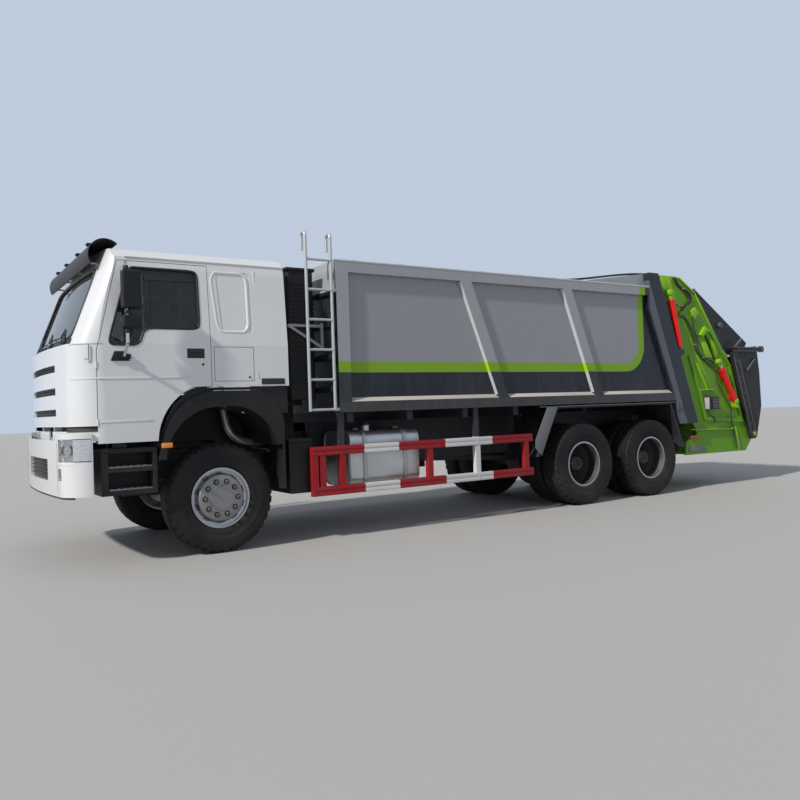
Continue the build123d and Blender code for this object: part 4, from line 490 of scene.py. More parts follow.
def belt(name, x0, x1, y0, y1, z0, z1, corner, thick):
    """A flat band bent round a rounded box that lies along X."""
    piece = bar(name, x0, x1, y0, y1, z0, z1, 0)
    bpy.ops.object.mode_set(mode="EDIT")
    bpy.ops.mesh.select_mode(type="EDGE")
    bpy.ops.mesh.select_all(action="DESELECT")
    bpy.ops.object.mode_set(mode="OBJECT")
    for edge in piece.data.edges:
        a, b = (piece.data.vertices[v].co for v in edge.vertices)
        edge.select = abs(a.x - b.x) > 0.001
    bpy.ops.object.mode_set(mode="EDIT")
    bpy.ops.mesh.bevel(offset=corner, segments=8, affect="EDGES")
    bpy.ops.object.mode_set(mode="OBJECT")
    pick_faces(piece, lambda face: abs(face.normal.x) > 0.9)
    bpy.ops.mesh.delete(type="FACE")
    bpy.ops.object.mode_set(mode="OBJECT")
    applied(piece, "wall", "SOLIDIFY", thickness=thick, offset=1)
    return piece


for number, strap_x in enumerate((2.17, 1.64)):
    x0, x1 = strap_x - 0.024, strap_x + 0.024
    strap = belt(f"tank_strap_{number}", x0, x1, 0.479, 1.109, 0.511, 1.139, 0.112, 0.004)
    ease(strap, 0.001)
    finished(strap, strap_steel, "chassis")
    lug = bar("lug", strap_x - 0.028, strap_x + 0.028, 0.82, 0.9, 1.141, 1.158, 0.004)
    screw = pin("screw", strap_x, 1.154, 0.79, 0.93, 0.006, 10)
    fitted(f"strap_buckle_{number}", [lug, screw], nut_steel, "chassis")
for end_x, word in ((2.3505, "front"), (1.4595, "rear")):
    seam = belt(f"tank_seam_{word}", end_x - 0.01, end_x + 0.008, 0.4835, 1.1015, 0.5185, 1.1315, 0.111, 0.003)
    finished(seam, tank_metal, "chassis")
neck = disc("neck", (2.05, 0.91, 1.179), (2.05, 0.91, 1.19), 0.056, 32, 0.003)
finished(neck, strap_steel, "chassis").name = "filler_neck"
cap = disc("filler_cap", (2.05, 0.91, 1.19), (2.05, 0.91, 1.222), 0.05, 32, 0.006, 0.046)
cap_black = finish_of("cap_black", (0.02, 0.02, 0.021), 0.5, dust=0.3)
finished(cap, cap_black, "chassis")
middle = disc("cap_middle", (2.05, 0.91, 1.221), (2.05, 0.91, 1.2265), 0.022, 24, 0.002)
finished(middle, finish_of("cap_red", (0.35, 0.02, 0.015), 0.45, dust=0.3), "chassis")

# Load body
# A welded steel box with pressed pockets between slanted ribs. The upper side is silver, the lower side dark
# blue grey, and a lime band parts them: it runs back along the sill and turns up behind the last pocket. Pale
# strips down the ribs' front edges, lime across the band, are painted highlights where the sun strikes them.


def plate_of(name, corners, y0, y1, bevel=0.002):
    """A flat plate whose outline is given in side view as (x, z) corners, standing between two Y."""
    nothing_selected()
    bpy.ops.mesh.primitive_circle_add(vertices=len(corners), radius=1, fill_type="NGON", location=(0, 0, 0))
    piece = bpy.context.object
    piece.name = name
    for point, (x, z) in zip(piece.data.vertices, corners):
        point.co = (x, y0, z)
    bpy.ops.object.mode_set(mode="EDIT")
    bpy.ops.mesh.select_all(action="SELECT")
    bpy.ops.mesh.extrude_region_move(TRANSFORM_OT_translate={"value": (0, y1 - y0, 0)})
    bpy.ops.mesh.select_all(action="SELECT")
    bpy.ops.mesh.normals_make_consistent(inside=False)
    bpy.ops.object.mode_set(mode="OBJECT")
    if bevel:
        ease(piece, bevel)
    return piece


def rounded_path(tree, across, rise, radius):
    """How far a point stands from an L shaped line with a rounded corner: minus inside it, plus outside."""
    low = math_node(tree, "SUBTRACT", radius, across)
    left = math_node(tree, "SUBTRACT", radius, rise)
    square = math_node(tree, "ADD", math_node(tree, "POWER", math_node(tree, "MAXIMUM", low, 0.0), 2.0),
                       math_node(tree, "POWER", math_node(tree, "MAXIMUM", left, 0.0), 2.0))
    nearest = math_node(tree, "MINIMUM", math_node(tree, "MAXIMUM", low, left), 0.0)
    return math_node(tree, "SUBTRACT", math_node(tree, "ADD", math_node(tree, "SQRT", square), nearest), radius)


silver = (0.3, 0.303, 0.332)
silver_rail = (0.35, 0.353, 0.38)
night_blue = (0.01, 0.013, 0.023)
lime = (0.2, 0.4, 0.006)
body_paint = finish_of("body_paint", silver, 0.32, metallic=0.1, dust=0.12, dust_top=2.4, waves=2.4,
                       wave_height=0.012, coat=0.06, shine=0.35)
tree = body_paint.node_tree
place, axes = own_place(tree)
along_body = math_node(tree, "ADD", axes["X"], 2.385)
above_band = math_node(tree, "SUBTRACT", axes["Z"], 1.834)
away = rounded_path(tree, along_body, above_band, 0.32)
dark_part = math_node(tree, "GREATER_THAN", away, 0.0)
band = math_node(tree, "LESS_THAN", math_node(tree, "ABSOLUTE", away), 0.059)
proud = math_node(tree, "GREATER_THAN", math_node(tree, "ABSOLUTE", axes["Y"]), 1.24)
upper = over(tree, silver, silver_rail, proud)
low_sill = math_node(tree, "LESS_THAN", axes["Z"], 1.4535)
grey_part = math_node(tree, "MAXIMUM", low_sill, math_node(tree, "MULTIPLY", proud, 0.5))
darker = over(tree, night_blue, (0.042, 0.043, 0.048), grey_part)
two_tone = over(tree, upper, darker, dark_part)
banded = over(tree, two_tone, lime, band)
ahead = math_node(tree, "GREATER_THAN", axes["X"], 2.549)
top_rail = math_node(tree, "GREATER_THAN", axes["Z"], 2.66)
front_face = over(tree, (0.016, 0.018, 0.024), (0.4, 0.405, 0.42), top_rail)
banded = over(tree, banded, front_face, ahead)
streak_place = node_of(tree, "Mapping", {"Scale": (5.0, 5.0, 0.5), "Vector": place})
streaks = speckle(tree, streak_place.outputs[0], 3.0, 6, 0.48, 0.8)
streaked = over(tree, banded, (0.24, 0.215, 0.18), math_node(tree, "MULTIPLY", streaks, 0.1))
feed(tree.nodes["dirt"], {"Paint": streaked})
dress(body_paint, "load_body")
rib_highlight_paint = finish_of("painted_highlight_edge", (0.62, 0.63, 0.65), 0.3, dust=0.1, dust_top=2.0)
lime_highlight_edge = finish_of("lime_highlight_edge", (0.5, 0.72, 0.02), 0.3, dust=0.05, dust_top=2.0)
ledge_paint = finish_of("dusty_ledge", (0.5, 0.47, 0.42), 0.6, dust=0.3, dust_top=2.0)
pale_paint = finish_of("pale_edge", (0.43, 0.44, 0.45), 0.35, dust=0.45, dust_top=2.0)
for side, word in SIDES:
    ledges = []
    for x0, x1 in ((2.398, 0.315), (0.15, -1.37), (-1.535, -2.96)):
        ledge = bar("ledge", x1, x0, side * 1.1955, side * 1.2495, 1.4565, 1.4625, 0.002)
        for point in ledge.data.vertices:
            if abs(point.co.y) < 1.22:
                point.co.z += 0.04
                point.co.x += 0.016 if point.co.x < (x0 + x1) / 2 else 0.0
        ledges.append(ledge)
    fitted(f"sill_ledges_{word}", ledges, ledge_paint, "chassis")
    # strips down each rib's front edge: painted highlight, pale grey and bright lime across the band
    for part, high, low, shine in (("high", 2.853, 1.893, rib_highlight_paint), ("band", 1.893, 1.775, lime_highlight_edge),
                                   ("low", 1.775, 1.5, rib_highlight_paint)):
        edges = []
        for top_x in (0.86, -0.825):
            x0, x1 = top_x - 0.38 * (2.855 - high), top_x - 0.38 * (2.855 - low)
            corners = [(x0 - 0.001, high), (x0 + 0.0025, high), (x1 + 0.0025, low), (x1 - 0.001, low)]
            edges.append(plate_of("edge", corners, side * 1.1955, side * 1.2485, 0))
        fitted(f"rib_highlights_{part}_{word}", edges, shine, "chassis")
    roll = disc(f"top_roll_{word}", (2.548, side * 1.238, 2.98), (-2.538, side * 1.238, 2.98), 0.0165, 16)
    finished(roll, pale_paint, "chassis")
    seams = [bar("seam", x - 0.004, x + 0.004, side * 1.196, side * 1.2505, low, high, 0.002)
             for x, low, high in ((2.401, 1.462, 2.854), (0.861, 2.852, 2.86))]
    fitted(f"post_seams_{word}", seams, body_paint, "chassis")
ribs = [bar("rib", 2.549, 2.585, -1.16, 1.16, z - 0.03, z + 0.03, 0.008) for z in (1.6, 1.95, 2.3, 2.65)]
fitted("bulkhead_ribs", ribs, body_paint, "chassis")

# Rear frame and roof hood
# Slanted columns of folded plate, a header and a sill, with the tailgate's hinge lugs. The columns' two greys
# are painted light: lighter on the sunlit front part, darker on the shaded rest. In front of the header a wedge
# of sheet covers three hoses that run back over the roof, held by clips.
column_paint = finish_of("column_paint", (0.055, 0.065, 0.08), 0.38, dust=0.12, dust_top=2.2, waves=3,
                         wave_height=0.008, shine=0.35)
tree = column_paint.node_tree
place, axes = own_place(tree)
# the columns' front part is painted lighter as sunlight, and the rest darker as shade
down = math_node(tree, "SUBTRACT", 3.19, axes["Z"])
slant = math_node(tree, "ADD", axes["X"], math_node(tree, "MULTIPLY", down, 0.3607))
sunlit_part = math_node(tree, "GREATER_THAN", slant, -2.5)
feed(tree.nodes["dirt"], {"Paint": over(tree, (0.022, 0.026, 0.038), (0.1, 0.11, 0.14), sunlit_part)})
dress(column_paint, "rear_frame")
hood_paint = finish_of("hood_paint", (0.36, 0.38, 0.4), 0.4, dust=0.35, dust_top=3.4, waves=3,
                       wave_height=0.008)
dress(hood_paint, "roof_hood")
hose_rubber = finish_of("hose_rubber", (0.016, 0.016, 0.017), 0.42, dust=0.35, dust_top=3.4, waves=40,
                        wave_height=0.0006)
brass = finish_of("brass_fitting", (0.48, 0.34, 0.14), 0.35, metallic=0.9, dust=0.25, dust_top=3.0)


def hose(name, points, radius, body, material=None, sides=5):
    """A hose or pipe along a smooth line through its control points, turned into a mesh."""
    line = bpy.data.curves.new(name, "CURVE")
    line.dimensions = "3D"
    line.bevel_depth = radius
    line.bevel_resolution = sides
    line.use_fill_caps = True
    spline = line.splines.new("NURBS")
    spline.points.add(len(points) - 1)
    for point, place in zip(spline.points, points):
        point.co = (*place, 1)
    spline.use_endpoint_u = True
    spline.order_u = 3
    line.resolution_u = 10
    piece = bpy.data.objects.new(name, line)
    bpy.context.collection.objects.link(piece)
    only(piece)
    bpy.ops.object.convert(target="MESH")
    return finished(bpy.context.object, material or hose_rubber, body, 60)


for number, y in enumerate((1.02, 0.98, -0.98)):
    points = [(2.5, y, 2.7), (2.5, y, 3.0), (2.44, y, 3.024), (1.9, y, 3.024), (0.5, y + 0.01, 3.024),
              (-1.0, y, 3.024), (-1.36, y, 3.055), (-2.45, y, 3.212), (-2.72, y, 3.215)]
    hose(f"roof_hose_{number}", points, 0.013, "chassis")
clips = [bar("clip", x - 0.02, x + 0.02, y0, y1, 2.984, 3.04, 0.006) for x in (2.1, 1.2, 0.3, -0.6)
         for y0, y1 in ((0.955, 1.045), (-1.01, -0.95))]
fitted("roof_hose_clips", clips, nut_steel, "chassis")
for side, word in SIDES:
    foot = [bar("foot", -3.175, -3.045, side * 1.2495, side * 1.259, 1.21, 1.34, 0.004)]
    foot += [pin("bolt", x, z, side * 1.2585, side * 1.268, 0.011, 6, 0.001) for x in (-3.15, -3.07)
             for z in (1.235, 1.315)]
    fitted(f"column_foot_{word}", foot, column_paint, "chassis")
    washers = [pin("washer", -2.85, 3.14, side * (y - 0.006), side * (y + 0.006), 0.036, 24, 0.002)
               for y in (0.8955, 1.0445)]
    fitted(f"hinge_washers_{word}", washers, nut_steel, "chassis")

# Ladder
# Galvanised tube with hooked tops, welded from two rails and six rungs and clamped to the body's front post.
# A weld rings each end of a rung, and screws hold the flat stays that brace the rails.
zinc = finish_of("zinc_tube", (0.5, 0.52, 0.53), 0.42, metallic=0.5, dust=0.3, dust_top=2.0, waves=24,
                 wave_height=0.0008)
dress(zinc, "ladder")
collars = [disc("collar", (x + step * 0.014, 1.24, z), (x + step * 0.026, 1.24, z), 0.0185, 16, 0.0, 0.0145)
           for z in [1.38 + 0.318 * rung for rung in range(6)] for x, step in ((2.895, -1), (2.6, 1))]
fitted("rung_welds", collars, zinc, "chassis")
screws = [pin("screw", x, z, 1.247, 1.256, 0.007, 6, 0.001) for x in (2.56, 2.585) for z in (1.38, 2.652)]
fitted("stay_screws", screws, nut_steel, "chassis")

# Inside of the body and the packing gear
# Bare wear plate, rubbed bright by the load: the ejector's face, the carriage and the sweep panel. Stiffening
# channels are welded across the backs.
wear_plate = finish_of("wear_plate", (0.17, 0.165, 0.155), 0.45, metallic=0.75, dust=0.5, dust_top=4.0, waves=5,
                       wave_height=0.006, grain=0.0004)
dress(wear_plate, "ejector_panel", "packer_carriage", "sweep_panel")

# Black mouldings
# Grained black plastic: the fenders with their flaps, the step boxes, the battery box, the air intake and the
# small boxes on the tailgate.
moulding = finish_of("black_moulding", (0.009, 0.009, 0.01), 0.5, dust=0.12, dust_top=1.9, waves=18,
                     wave_height=0.0012, grain=0.0009, shine=0.3)
dress(moulding, "front_fenders", "step_boxes", "battery_and_air_tanks", "air_intake", "tail_boxes")
fender_grey = finish_of("fender_grey", (0.018, 0.02, 0.024), 0.5, dust=0.2, dust_top=1.7, shine=0.3)
dress(fender_grey, "rear_fenders")
leg_grey = finish_of("leg_grey", (0.13, 0.135, 0.15), 0.42, dust=0.3, dust_top=1.5)
lip_steel = finish_of("lip_steel", (0.2, 0.205, 0.21), 0.42, metallic=0.7, dust=0.4, dust_top=1.5)
amber = finish_of("amber_lens", (0.85, 0.26, 0.004), 0.16, dust=0.05, coat=1.0)
red_lens = finish_of("red_lens", (0.42, 0.012, 0.01), 0.16, dust=0.25, coat=1.0)


def strip_along(name, path, width, y0, y1, bevel=0.002):
    """Flat bars laid end to end along a path in side view."""
    pieces = []
    for (x0, z0), (x1, z1) in zip(path, path[1:]):
        run = math.hypot(x1 - x0, z1 - z0)
        a, b = -(z1 - z0) / run * width / 2, (x1 - x0) / run * width / 2
        corners = [(x0 + a, z0 + b), (x1 + a, z1 + b), (x1 - a, z1 - b), (x0 - a, z0 - b)]
        pieces.append(plate_of("run", corners, y0, y1, bevel))
    return joined(name, pieces)


for side, word in SIDES:
    lips = []
    for z in (0.705, 0.91):
        lips.append(bar("lip", 4.535, 4.925, side * 1.05, side * 1.2145, z - 0.001, z + 0.012, 0.003))
        lips += [bar("tooth", x - 0.014, x + 0.014, side * 1.1, side * 1.205, z + 0.011, z + 0.017, 0.002)
                 for x in (4.6, 4.66, 4.72, 4.78, 4.84, 4.9)]
    fitted(f"step_treads_{word}", lips, lip_steel, "chassis")
    rim = [bar("rim", 4.492, 4.498, side * 1.214, side * 1.222, 0.68, 1.07, 0.002),
           bar("rim", 4.5, 4.98, side * 1.2148, side * 1.221, 1.06, 1.076, 0.003)]
    fitted(f"step_rim_{word}", rim, moulding, "chassis")
    lamp = bar(f"side_lamp_{word}", 4.352, 4.456, side * 1.2475, side * 1.262, 1.07, 1.118, 0.006, 3)
    finished(lamp, amber, "chassis")
    clamp = bar(f"flap_clamp_{word}", 3.198, 3.2245, side * 0.95, side * 1.24, 1.02, 1.05, 0.003)
    finished(clamp, lip_steel, "chassis")
    shield = [(3.145, 1.632), (4.085, 1.632), (4.215, 1.575), (4.325, 1.475), (4.392, 1.35), (4.432, 1.2),
              (4.428, 1.172), (4.275, 1.46), (4.1, 1.566), (3.91, 1.605), (3.49, 1.605), (3.262, 1.46),
              (3.215, 1.36), (3.145, 1.36)]
    shield = plate_of(f"splash_shield_{word}", shield, side * 1.216, side * 1.221, 0)
    finished(shield, moulding, "chassis")
    arch = [(4.405, 0.985), (4.345, 1.155), (4.235, 1.322), (4.06, 1.422), (3.85, 1.45), (3.62, 1.42),
            (3.45, 1.342), (3.335, 1.196), (3.29, 1.045)]
    below = [(3.29, 1.045), (3.29, 0.93), (3.62, 0.93), (3.7, 1.1), (4.1, 1.1), (4.25, 0.96)]
    lining = [strip_along("lining", arch, 0.006, side * 0.472, side * 0.939, 0),
              plate_of("wall", [(4.4, 0.99)] + arch[1:-1] + below, side * 0.47, side * 0.474, 0)]
    fitted(f"arch_lining_{word}", lining, moulding, "chassis")
    leg = [(-0.25, 0.905), (-0.48, 1.326), (-0.66, 1.326), (-0.352, 0.7), (-0.25, 0.8)]
    leg = plate_of(f"fender_leg_{word}", leg, side * 1.2385, side * 1.2425, 0.001)
    finished(leg, leg_grey, "chassis")
    # a pale strip along the rear fender's top edge: painted highlight on the black fender
    ridge = bar(f"fender_highlight_{word}", -3.19, -0.35, side * 1.232, side * 1.241, 1.3195, 1.3255, 0.002)
    finished(ridge, pale_paint, "chassis")
hose("charge_pipe", [(3.62, 0.56, 1.62), (3.6, 0.58, 1.36), (3.56, 0.62, 1.16), (3.42, 0.62, 1.06),
                     (3.2, 0.56, 1.05)], 0.04, "chassis", strap_steel)
top = (3.0, 0.985, 2.295)
braces = [disc("brace", top, (2.6, 0.985, 2.06), 0.016, 16), disc("brace", top, (2.6, 0.985, 2.295), 0.016, 16),
          bar("post", 2.59, 2.612, 0.966, 1.004, 2.03, 2.33, 0.004)]
fitted("intake_brace", braces, pale_paint, "chassis")
lid = [bar("lid", 2.836, 3.109, 0.49, 1.134, 1.045, 1.088, 0.01, 3),
       bar("edge", 2.832, 3.113, 1.128, 1.1385, 1.03, 1.046, 0.003)]
lid += [bar("latch", 3.104, 3.114, y - 0.02, y + 0.02, 0.98, 1.06, 0.003) for y in (0.65, 0.95)]
fitted("battery_lid", lid, moulding, "chassis")
for number, z in enumerate((0.66, 0.935)):
    for y in (0.62, 1.0):
        section = [(y - 0.018, 0.1302), (y - 0.018, 0.134), (y + 0.018, 0.134), (y + 0.018, 0.1302)]
        band = turned(f"air_tank_band_{number}_{int(y * 100)}", section, (2.9725, z), -1, 36)
        finished(band, lip_steel, "chassis")
louvres = [bar("louvre", 2.676, 2.984, 0.9595, 0.9665, z, z + 0.018, 0.003)
           for z in [1.62 + 0.045 * k for k in range(26)]]
fitted("intake_louvres", louvres, moulding, "chassis")
cap = bar("intake_cap", 2.655, 3.005, 0.545, 0.975, 2.885, 2.925, 0.016, 3)
finished(cap, moulding, "chassis")

# Cab shell and doors
# Pressed steel panels painted white, with two raised lines pressed along the side, a drip rail over the door
# and a flush black pull handle. The service hatch behind the door is a flat lid with its own lock.
cab_paint = finish_of("cab_paint", (0.72, 0.73, 0.74), 0.22, dust=0.1, dust_top=1.7, waves=2.2,
                      wave_height=0.006, coat=1.0)
dress(cab_paint, "cab_shell", "door_left", "door_right", "grille_panel", "front_bumper")
gap_black = finish_of("gap_black", (0.006, 0.006, 0.006), 0.9, dust=0.1)
seal_rubber = finish_of("seal_rubber", (0.01, 0.01, 0.011), 0.45, dust=0.25, dust_top=2.0, waves=30,
                        wave_height=0.0004)


cab_half = 1.248
sill_z = 2.05


def cab_side(z):
    """How far out the cab's side stands at height z; it leans in above the windows' sill."""
    return cab_half - 0.0806 * max(0.0, z - sill_z)


def side_panel(name, x0, x1, z0, z1, side, proud, sunk, bevel):
    """A flat strip on the cab's side, leaning with it."""
    piece = bar(name, x0, x1, cab_half - sunk, cab_half + proud, z0, z1, bevel)
    for point in piece.data.vertices:
        point.co.y += cab_side(point.co.z) - cab_half
    if side < 0:
        piece.data.transform(ACROSS)
        piece.data.flip_normals()
    return piece


def ring_through(corners, side, near, inward):
    """A closed run of points on the cab's side, crowded at near metres from each corner."""
    ring = []
    for (x0, z0), (x1, z1) in zip(corners, corners[1:] + corners[:1]):
        span = math.hypot(x1 - x0, z1 - z0)
        for share in (near / span, 0.3, 0.7, 1 - near / span):
            x, z = x0 + (x1 - x0) * share, z0 + (z1 - z0) * share
            ring.append((x, side * (cab_side(z) - inward), z))
    return ring + ring[:1]


for side, word in SIDES:
    lines = [side_panel("line", 4.15, 5.0, 1.722, 1.738, side, 0.005, 0.001, 0.0024),
             side_panel("line", 4.52, 5.0, 1.328, 1.342, side, 0.004, 0.001, 0.0019)]
    fitted(f"door_lines_{word}", lines, cab_paint, f"door_{word}")
    line = side_panel(f"quarter_line_{word}", 3.46, 3.476, 1.72, 2.8, side, 0.004, 0.001, 0.0019)
    finished(line, cab_paint, "cab")
    press = ring_through([(3.925, 2.765), (3.545, 2.765), (3.548, 2.175), (3.868, 2.175)], side, 0.05, 0.0145)
    hose(f"pressed_frame_{word}", press, 0.0195, "cab", cab_paint, 12)
    frame_bars = [side_panel("groove", 3.51, 3.92, z, z + 0.004, side, 0.0006, 0.002, 0) for z in (1.69, 2.025)]
    frame_bars += [side_panel("groove", x, x + 0.004, 1.69, 2.029, side, 0.0006, 0.002, 0)
                   for x in (3.51, 3.916)]
    fitted(f"hatch_gap_{word}", frame_bars, gap_black, "cab")
    latch = pin(f"hatch_lock_{word}", 3.56, 1.73, side * 1.248, side * 1.2525, 0.011, 20, 0.001)
    finished(latch, seal_rubber, "cab")
    plate = side_panel(f"dark_plate_{word}", 3.181, 3.434, 1.655, 1.716, side, 0.004, 0.001, 0.002)
    finished(plate, seal_rubber, "cab")
    cup = side_panel("cup", 4.015, 4.185, 1.915, 2.008, side, 0.0022, 0.001, 0.001)
    grip = side_panel("grip", 4.03, 4.17, 1.966, 1.992, side, 0.013, 0.001, 0.005)
    lock = pin("lock", 4.032, 1.855, side * 1.247, side * 1.2515, 0.012, 20, 0.001)
    fitted(f"door_handle_{word}", [cup, grip, lock], seal_rubber, f"door_{word}")
    gutter = disc(f"drip_rail_{word}", (4.728, side * 1.1765, 2.862), (3.145, side * 1.1765, 2.862), 0.0085, 12)
    finished(gutter, cab_paint, "cab")
    edge = [(4.7, 2.762), (4.05, 2.762), (4.05, 2.195), (4.57, 2.195), (4.63, 2.035), (4.91, 2.035)]
    edge = ring_through(edge, side, 0.035, 0.006)
    hose(f"window_seal_{word}", edge, 0.0125, f"door_{word}", seal_rubber)
    rail = [(4.745, side * 1.157, 2.755), (4.905, side * 1.216, 2.3), (4.93, side * 1.228, 2.045)]
    hose(f"window_rail_{word}", rail, 0.01, f"door_{word}", seal_rubber)

# Front of the cab
# The bowed nose: a black cowl under the windscreen with the wipers, dark mesh in the grille's slots, a rubber
# seal round the glass, and a black filler that closes the gap over the bumper.


def arc_points(first, middle, last, steps):
    """Points from first to last on the circle through three points."""
    (ax, ay), (bx, by), (cx, cy) = first, middle, last
    d = 2 * (ax * (by - cy) + bx * (cy - ay) + cx * (ay - by))
    a, b, c = ax * ax + ay * ay, bx * bx + by * by, cx * cx + cy * cy
    ux = (a * (by - cy) + b * (cy - ay) + c * (ay - by)) / d
    uy = (a * (cx - bx) + b * (ax - cx) + c * (bx - ax)) / d
    radius = math.hypot(ax - ux, ay - uy)
    start, end = math.atan2(ay - uy, ax - ux), math.atan2(cy - uy, cx - ux)
    if end - start > math.pi:
        end -= 2 * math.pi
    if start - end > math.pi:
        end += 2 * math.pi
    return [(ux + radius * math.cos(start + (end - start) * k / steps),
             uy + radius * math.sin(start + (end - start) * k / steps)) for k in range(steps + 1)]


def nose_line(front_x, half, reach, back, inward, inset=0.0):
    """The nose seen from above, from its left end round to its right end, as (x, y) points."""
    start, bend = (front_x - reach, half), (front_x - back, half - inward)
    middle = (bend[0] - (bend[0] - start[0]) / 3, half - 0.3 * inward)
    left = arc_points(start, middle, bend, 16)
    front = arc_points(bend, (front_x, 0), (bend[0], -bend[1]), 28)
    line = left + front[1:] + [(x, -y) for x, y in reversed(left[:-1])]
    moved = []
    for number, (x, y) in enumerate(line):
        before, after = line[max(number - 1, 0)], line[min(number + 1, len(line) - 1)]
        run = math.hypot(after[0] - before[0], after[1] - before[1])
        moved.append((x + inset * (after[1] - before[1]) / run, y - inset * (after[0] - before[0]) / run))
    return moved


def wall_round(name, nose, inset, low_z, high_z, thick, y0=-9.0, y1=9.0, lean=0.0, lean_from=0.0):
    """An upright or leaning strip that follows a nose line, set in by inset, between two heights and two Y."""
    y0, y1 = sorted((y0, y1))
    line = [point for point in nose_line(*nose, inset=inset) if y0 <= point[1] <= y1]
    nothing_selected()
    bpy.ops.mesh.primitive_grid_add(x_subdivisions=len(line) - 1, y_subdivisions=1, size=1)
    piece = bpy.context.object
    piece.name = name
    for number, point in enumerate(piece.data.vertices):
        row, column = divmod(number, len(line))
        z = low_z + (high_z - low_z) * row
        x, y = line[column]
        point.co = (x - lean * (z - lean_from), y, z)
    applied(piece, "sheet", "SOLIDIFY", thickness=thick, offset=0)
    bpy.ops.object.mode_set(mode="EDIT")
    bpy.ops.mesh.select_all(action="SELECT")
    bpy.ops.mesh.normals_make_consistent(inside=False)
    bpy.ops.object.mode_set(mode="OBJECT")
    return piece


low_nose = (5.3, 1.248, 0.35, 0.07, 0.248)
screen_nose = (5.24, 1.248, 0.26, 0.04, 0.248)
bumper_nose = (5.35, 1.235, 0.275, 0.046, 0.235)
screen_lean = 0.386
mesh_black = finish_of("mesh_black", (0.012, 0.012, 0.013), 0.6, dust=0.45, dust_top=2.2, waves=60,
                       wave_height=0.004)
parts = []
for low, high in ((1.815, 1.88), (1.6, 1.665), (1.4, 1.465)):
    parts.append(wall_round("mesh", low_nose, 0.0215, low + 0.002, high - 0.002, 0.003, -0.675, 0.675))
    parts += [wall_round("fin", low_nose, 0.012, z, z + 0.004, 0.014, -0.675, 0.675)
              for z in (low + 0.02, low + 0.043)]
fitted("grille_mesh", parts, mesh_black, "cab")
bright_trim = finish_of("bright_trim", (0.62, 0.63, 0.64), 0.16, metallic=0.95, dust=0.15, dust_top=2.0)
parts = [wall_round("trim", low_nose, -0.0015, z, z + 0.011, 0.005, -0.685, 0.685)
         for z in (1.8815, 1.6665, 1.4665)]
fitted("grille_trims", parts, cab_paint, "cab")
# the filler stops short of the cab's two hinge lugs, which swing down through it
parts = [wall_round("filler", low_nose, 0.03, 1.165, 1.256, 0.012, y0, y1)
         for y0, y1 in ((-9.0, -0.385), (-0.295, 0.295), (0.385, 9.0))]
fitted("bumper_filler", parts, cab_paint, "chassis")
for side, word in SIDES:
    slot = wall_round(f"bumper_slot_{word}", low_nose, 0.022, 1.25, 1.29, 0.006, side * 0.86, side * 1.2475)
    finished(slot, mesh_black, "chassis")
cowl = wall_round("cowl", screen_nose, -0.004, 2.053, 2.104, 0.01, -1.06, 1.06, screen_lean, sill_z)
finished(cowl, seal_rubber, "cab")


def on_screen(y, z, inset=0.0):
    """A point on the leaning front at y and height z."""
    line = nose_line(*screen_nose, inset=inset)
    for (x0, y0), (x1, y1) in zip(line, line[1:]):
        if y1 <= y <= y0:
            return (x0 + (x1 - x0) * (y0 - y) / (y0 - y1) - screen_lean * (z - sill_z), y, z)
    raise ValueError("outside the nose")


def hose_on_screen(name, points, radius, material=None):
    """A hose or seal through points on the leaning front, each given as Y, height and inset."""
    return hose(name, [on_screen(*point) for point in points], radius, "cab", material)


seal = [(y, 2.108) for y in (-0.97, -0.6, -0.2, 0.2, 0.6, 0.97)]
seal += [(1.022, 2.16), (1.002, 2.4), (0.98, 2.71)]
seal += [(y, 2.767) for y in (0.915, 0.6, 0.2, -0.2, -0.6, -0.915)]
seal += [(-0.98, 2.71), (-1.002, 2.4), (-1.022, 2.16)]
hose_on_screen("windscreen_seal", seal + seal[:1], 0.013, seal_rubber)
for number, (pivot_y, tip_y) in enumerate(((0.78, 0.1), (-0.02, -0.72))):
    pivot = disc("pivot", on_screen(pivot_y, 2.08, -0.002), on_screen(pivot_y, 2.088, -0.026), 0.016, 16, 0.003)
    arm = hose_on_screen("arm", [(pivot_y, 2.086, -0.024), (pivot_y * 0.7 + tip_y * 0.3, 2.11, -0.03),
                                 (pivot_y * 0.45 + tip_y * 0.55, 2.15, -0.022)], 0.0055)
    blade = hose_on_screen("blade", [(pivot_y - 0.02, 2.135, -0.011), ((pivot_y + tip_y) / 2, 2.15, -0.013),
                                     (tip_y - 0.02, 2.15, -0.011)], 0.0065)
    fitted(f"wiper_{number}", [pivot, arm, blade], seal_rubber, "cab")
for side, word in SIDES:
    y0, y1 = side * 1.06, side * 1.2478
    line = wall_round(f"corner_line_{word}", low_nose, 0.0005, 1.722, 1.738, 0.009, y0, y1)
    finished(line, cab_paint, "cab")
    gaps = [wall_round("gap", low_nose, 0.001, 2.036, 2.04, 0.003, y0, y1),
            bar("gap", 5.07, 5.074, side * 1.228, side * 1.2395, 1.9, 2.036, 0),
            bar("gap", 5.07, 5.11, side * 1.222, side * 1.2375, 1.9, 1.904, 0)]
    fitted(f"corner_gaps_{word}", gaps, gap_black, "cab")
    seam = bar(f"bumper_seam_{word}", 5.3, 5.3112, side * 0.9285, side * 0.9315, 0.7, 1.15, 0)
    finished(seam, gap_black, "chassis")
for number, y in enumerate((0.9, 0.34, -0.24)):
    links = [hose_on_screen("link", [(y, 2.07, -0.012), (y, 2.165, -0.04), (y - 0.02, 2.205, -0.042),
                                     (y - 0.1, 2.19, -0.032), (y - 0.22, 2.135, -0.018)], 0.0075),
             hose_on_screen("link", [(y - 0.05, 2.07, -0.012), (y - 0.055, 2.13, -0.03),
                                     (y - 0.1, 2.19, -0.032)], 0.0055),
             disc("pivot", on_screen(y, 2.062), on_screen(y, 2.074, -0.036), 0.017, 16, 0.003)]
    fitted(f"wiper_linkage_{number}", links, seal_rubber, "cab")

# Glass
# Tinted laminated windscreen and toughened door glass, clear enough to show the cabin behind.


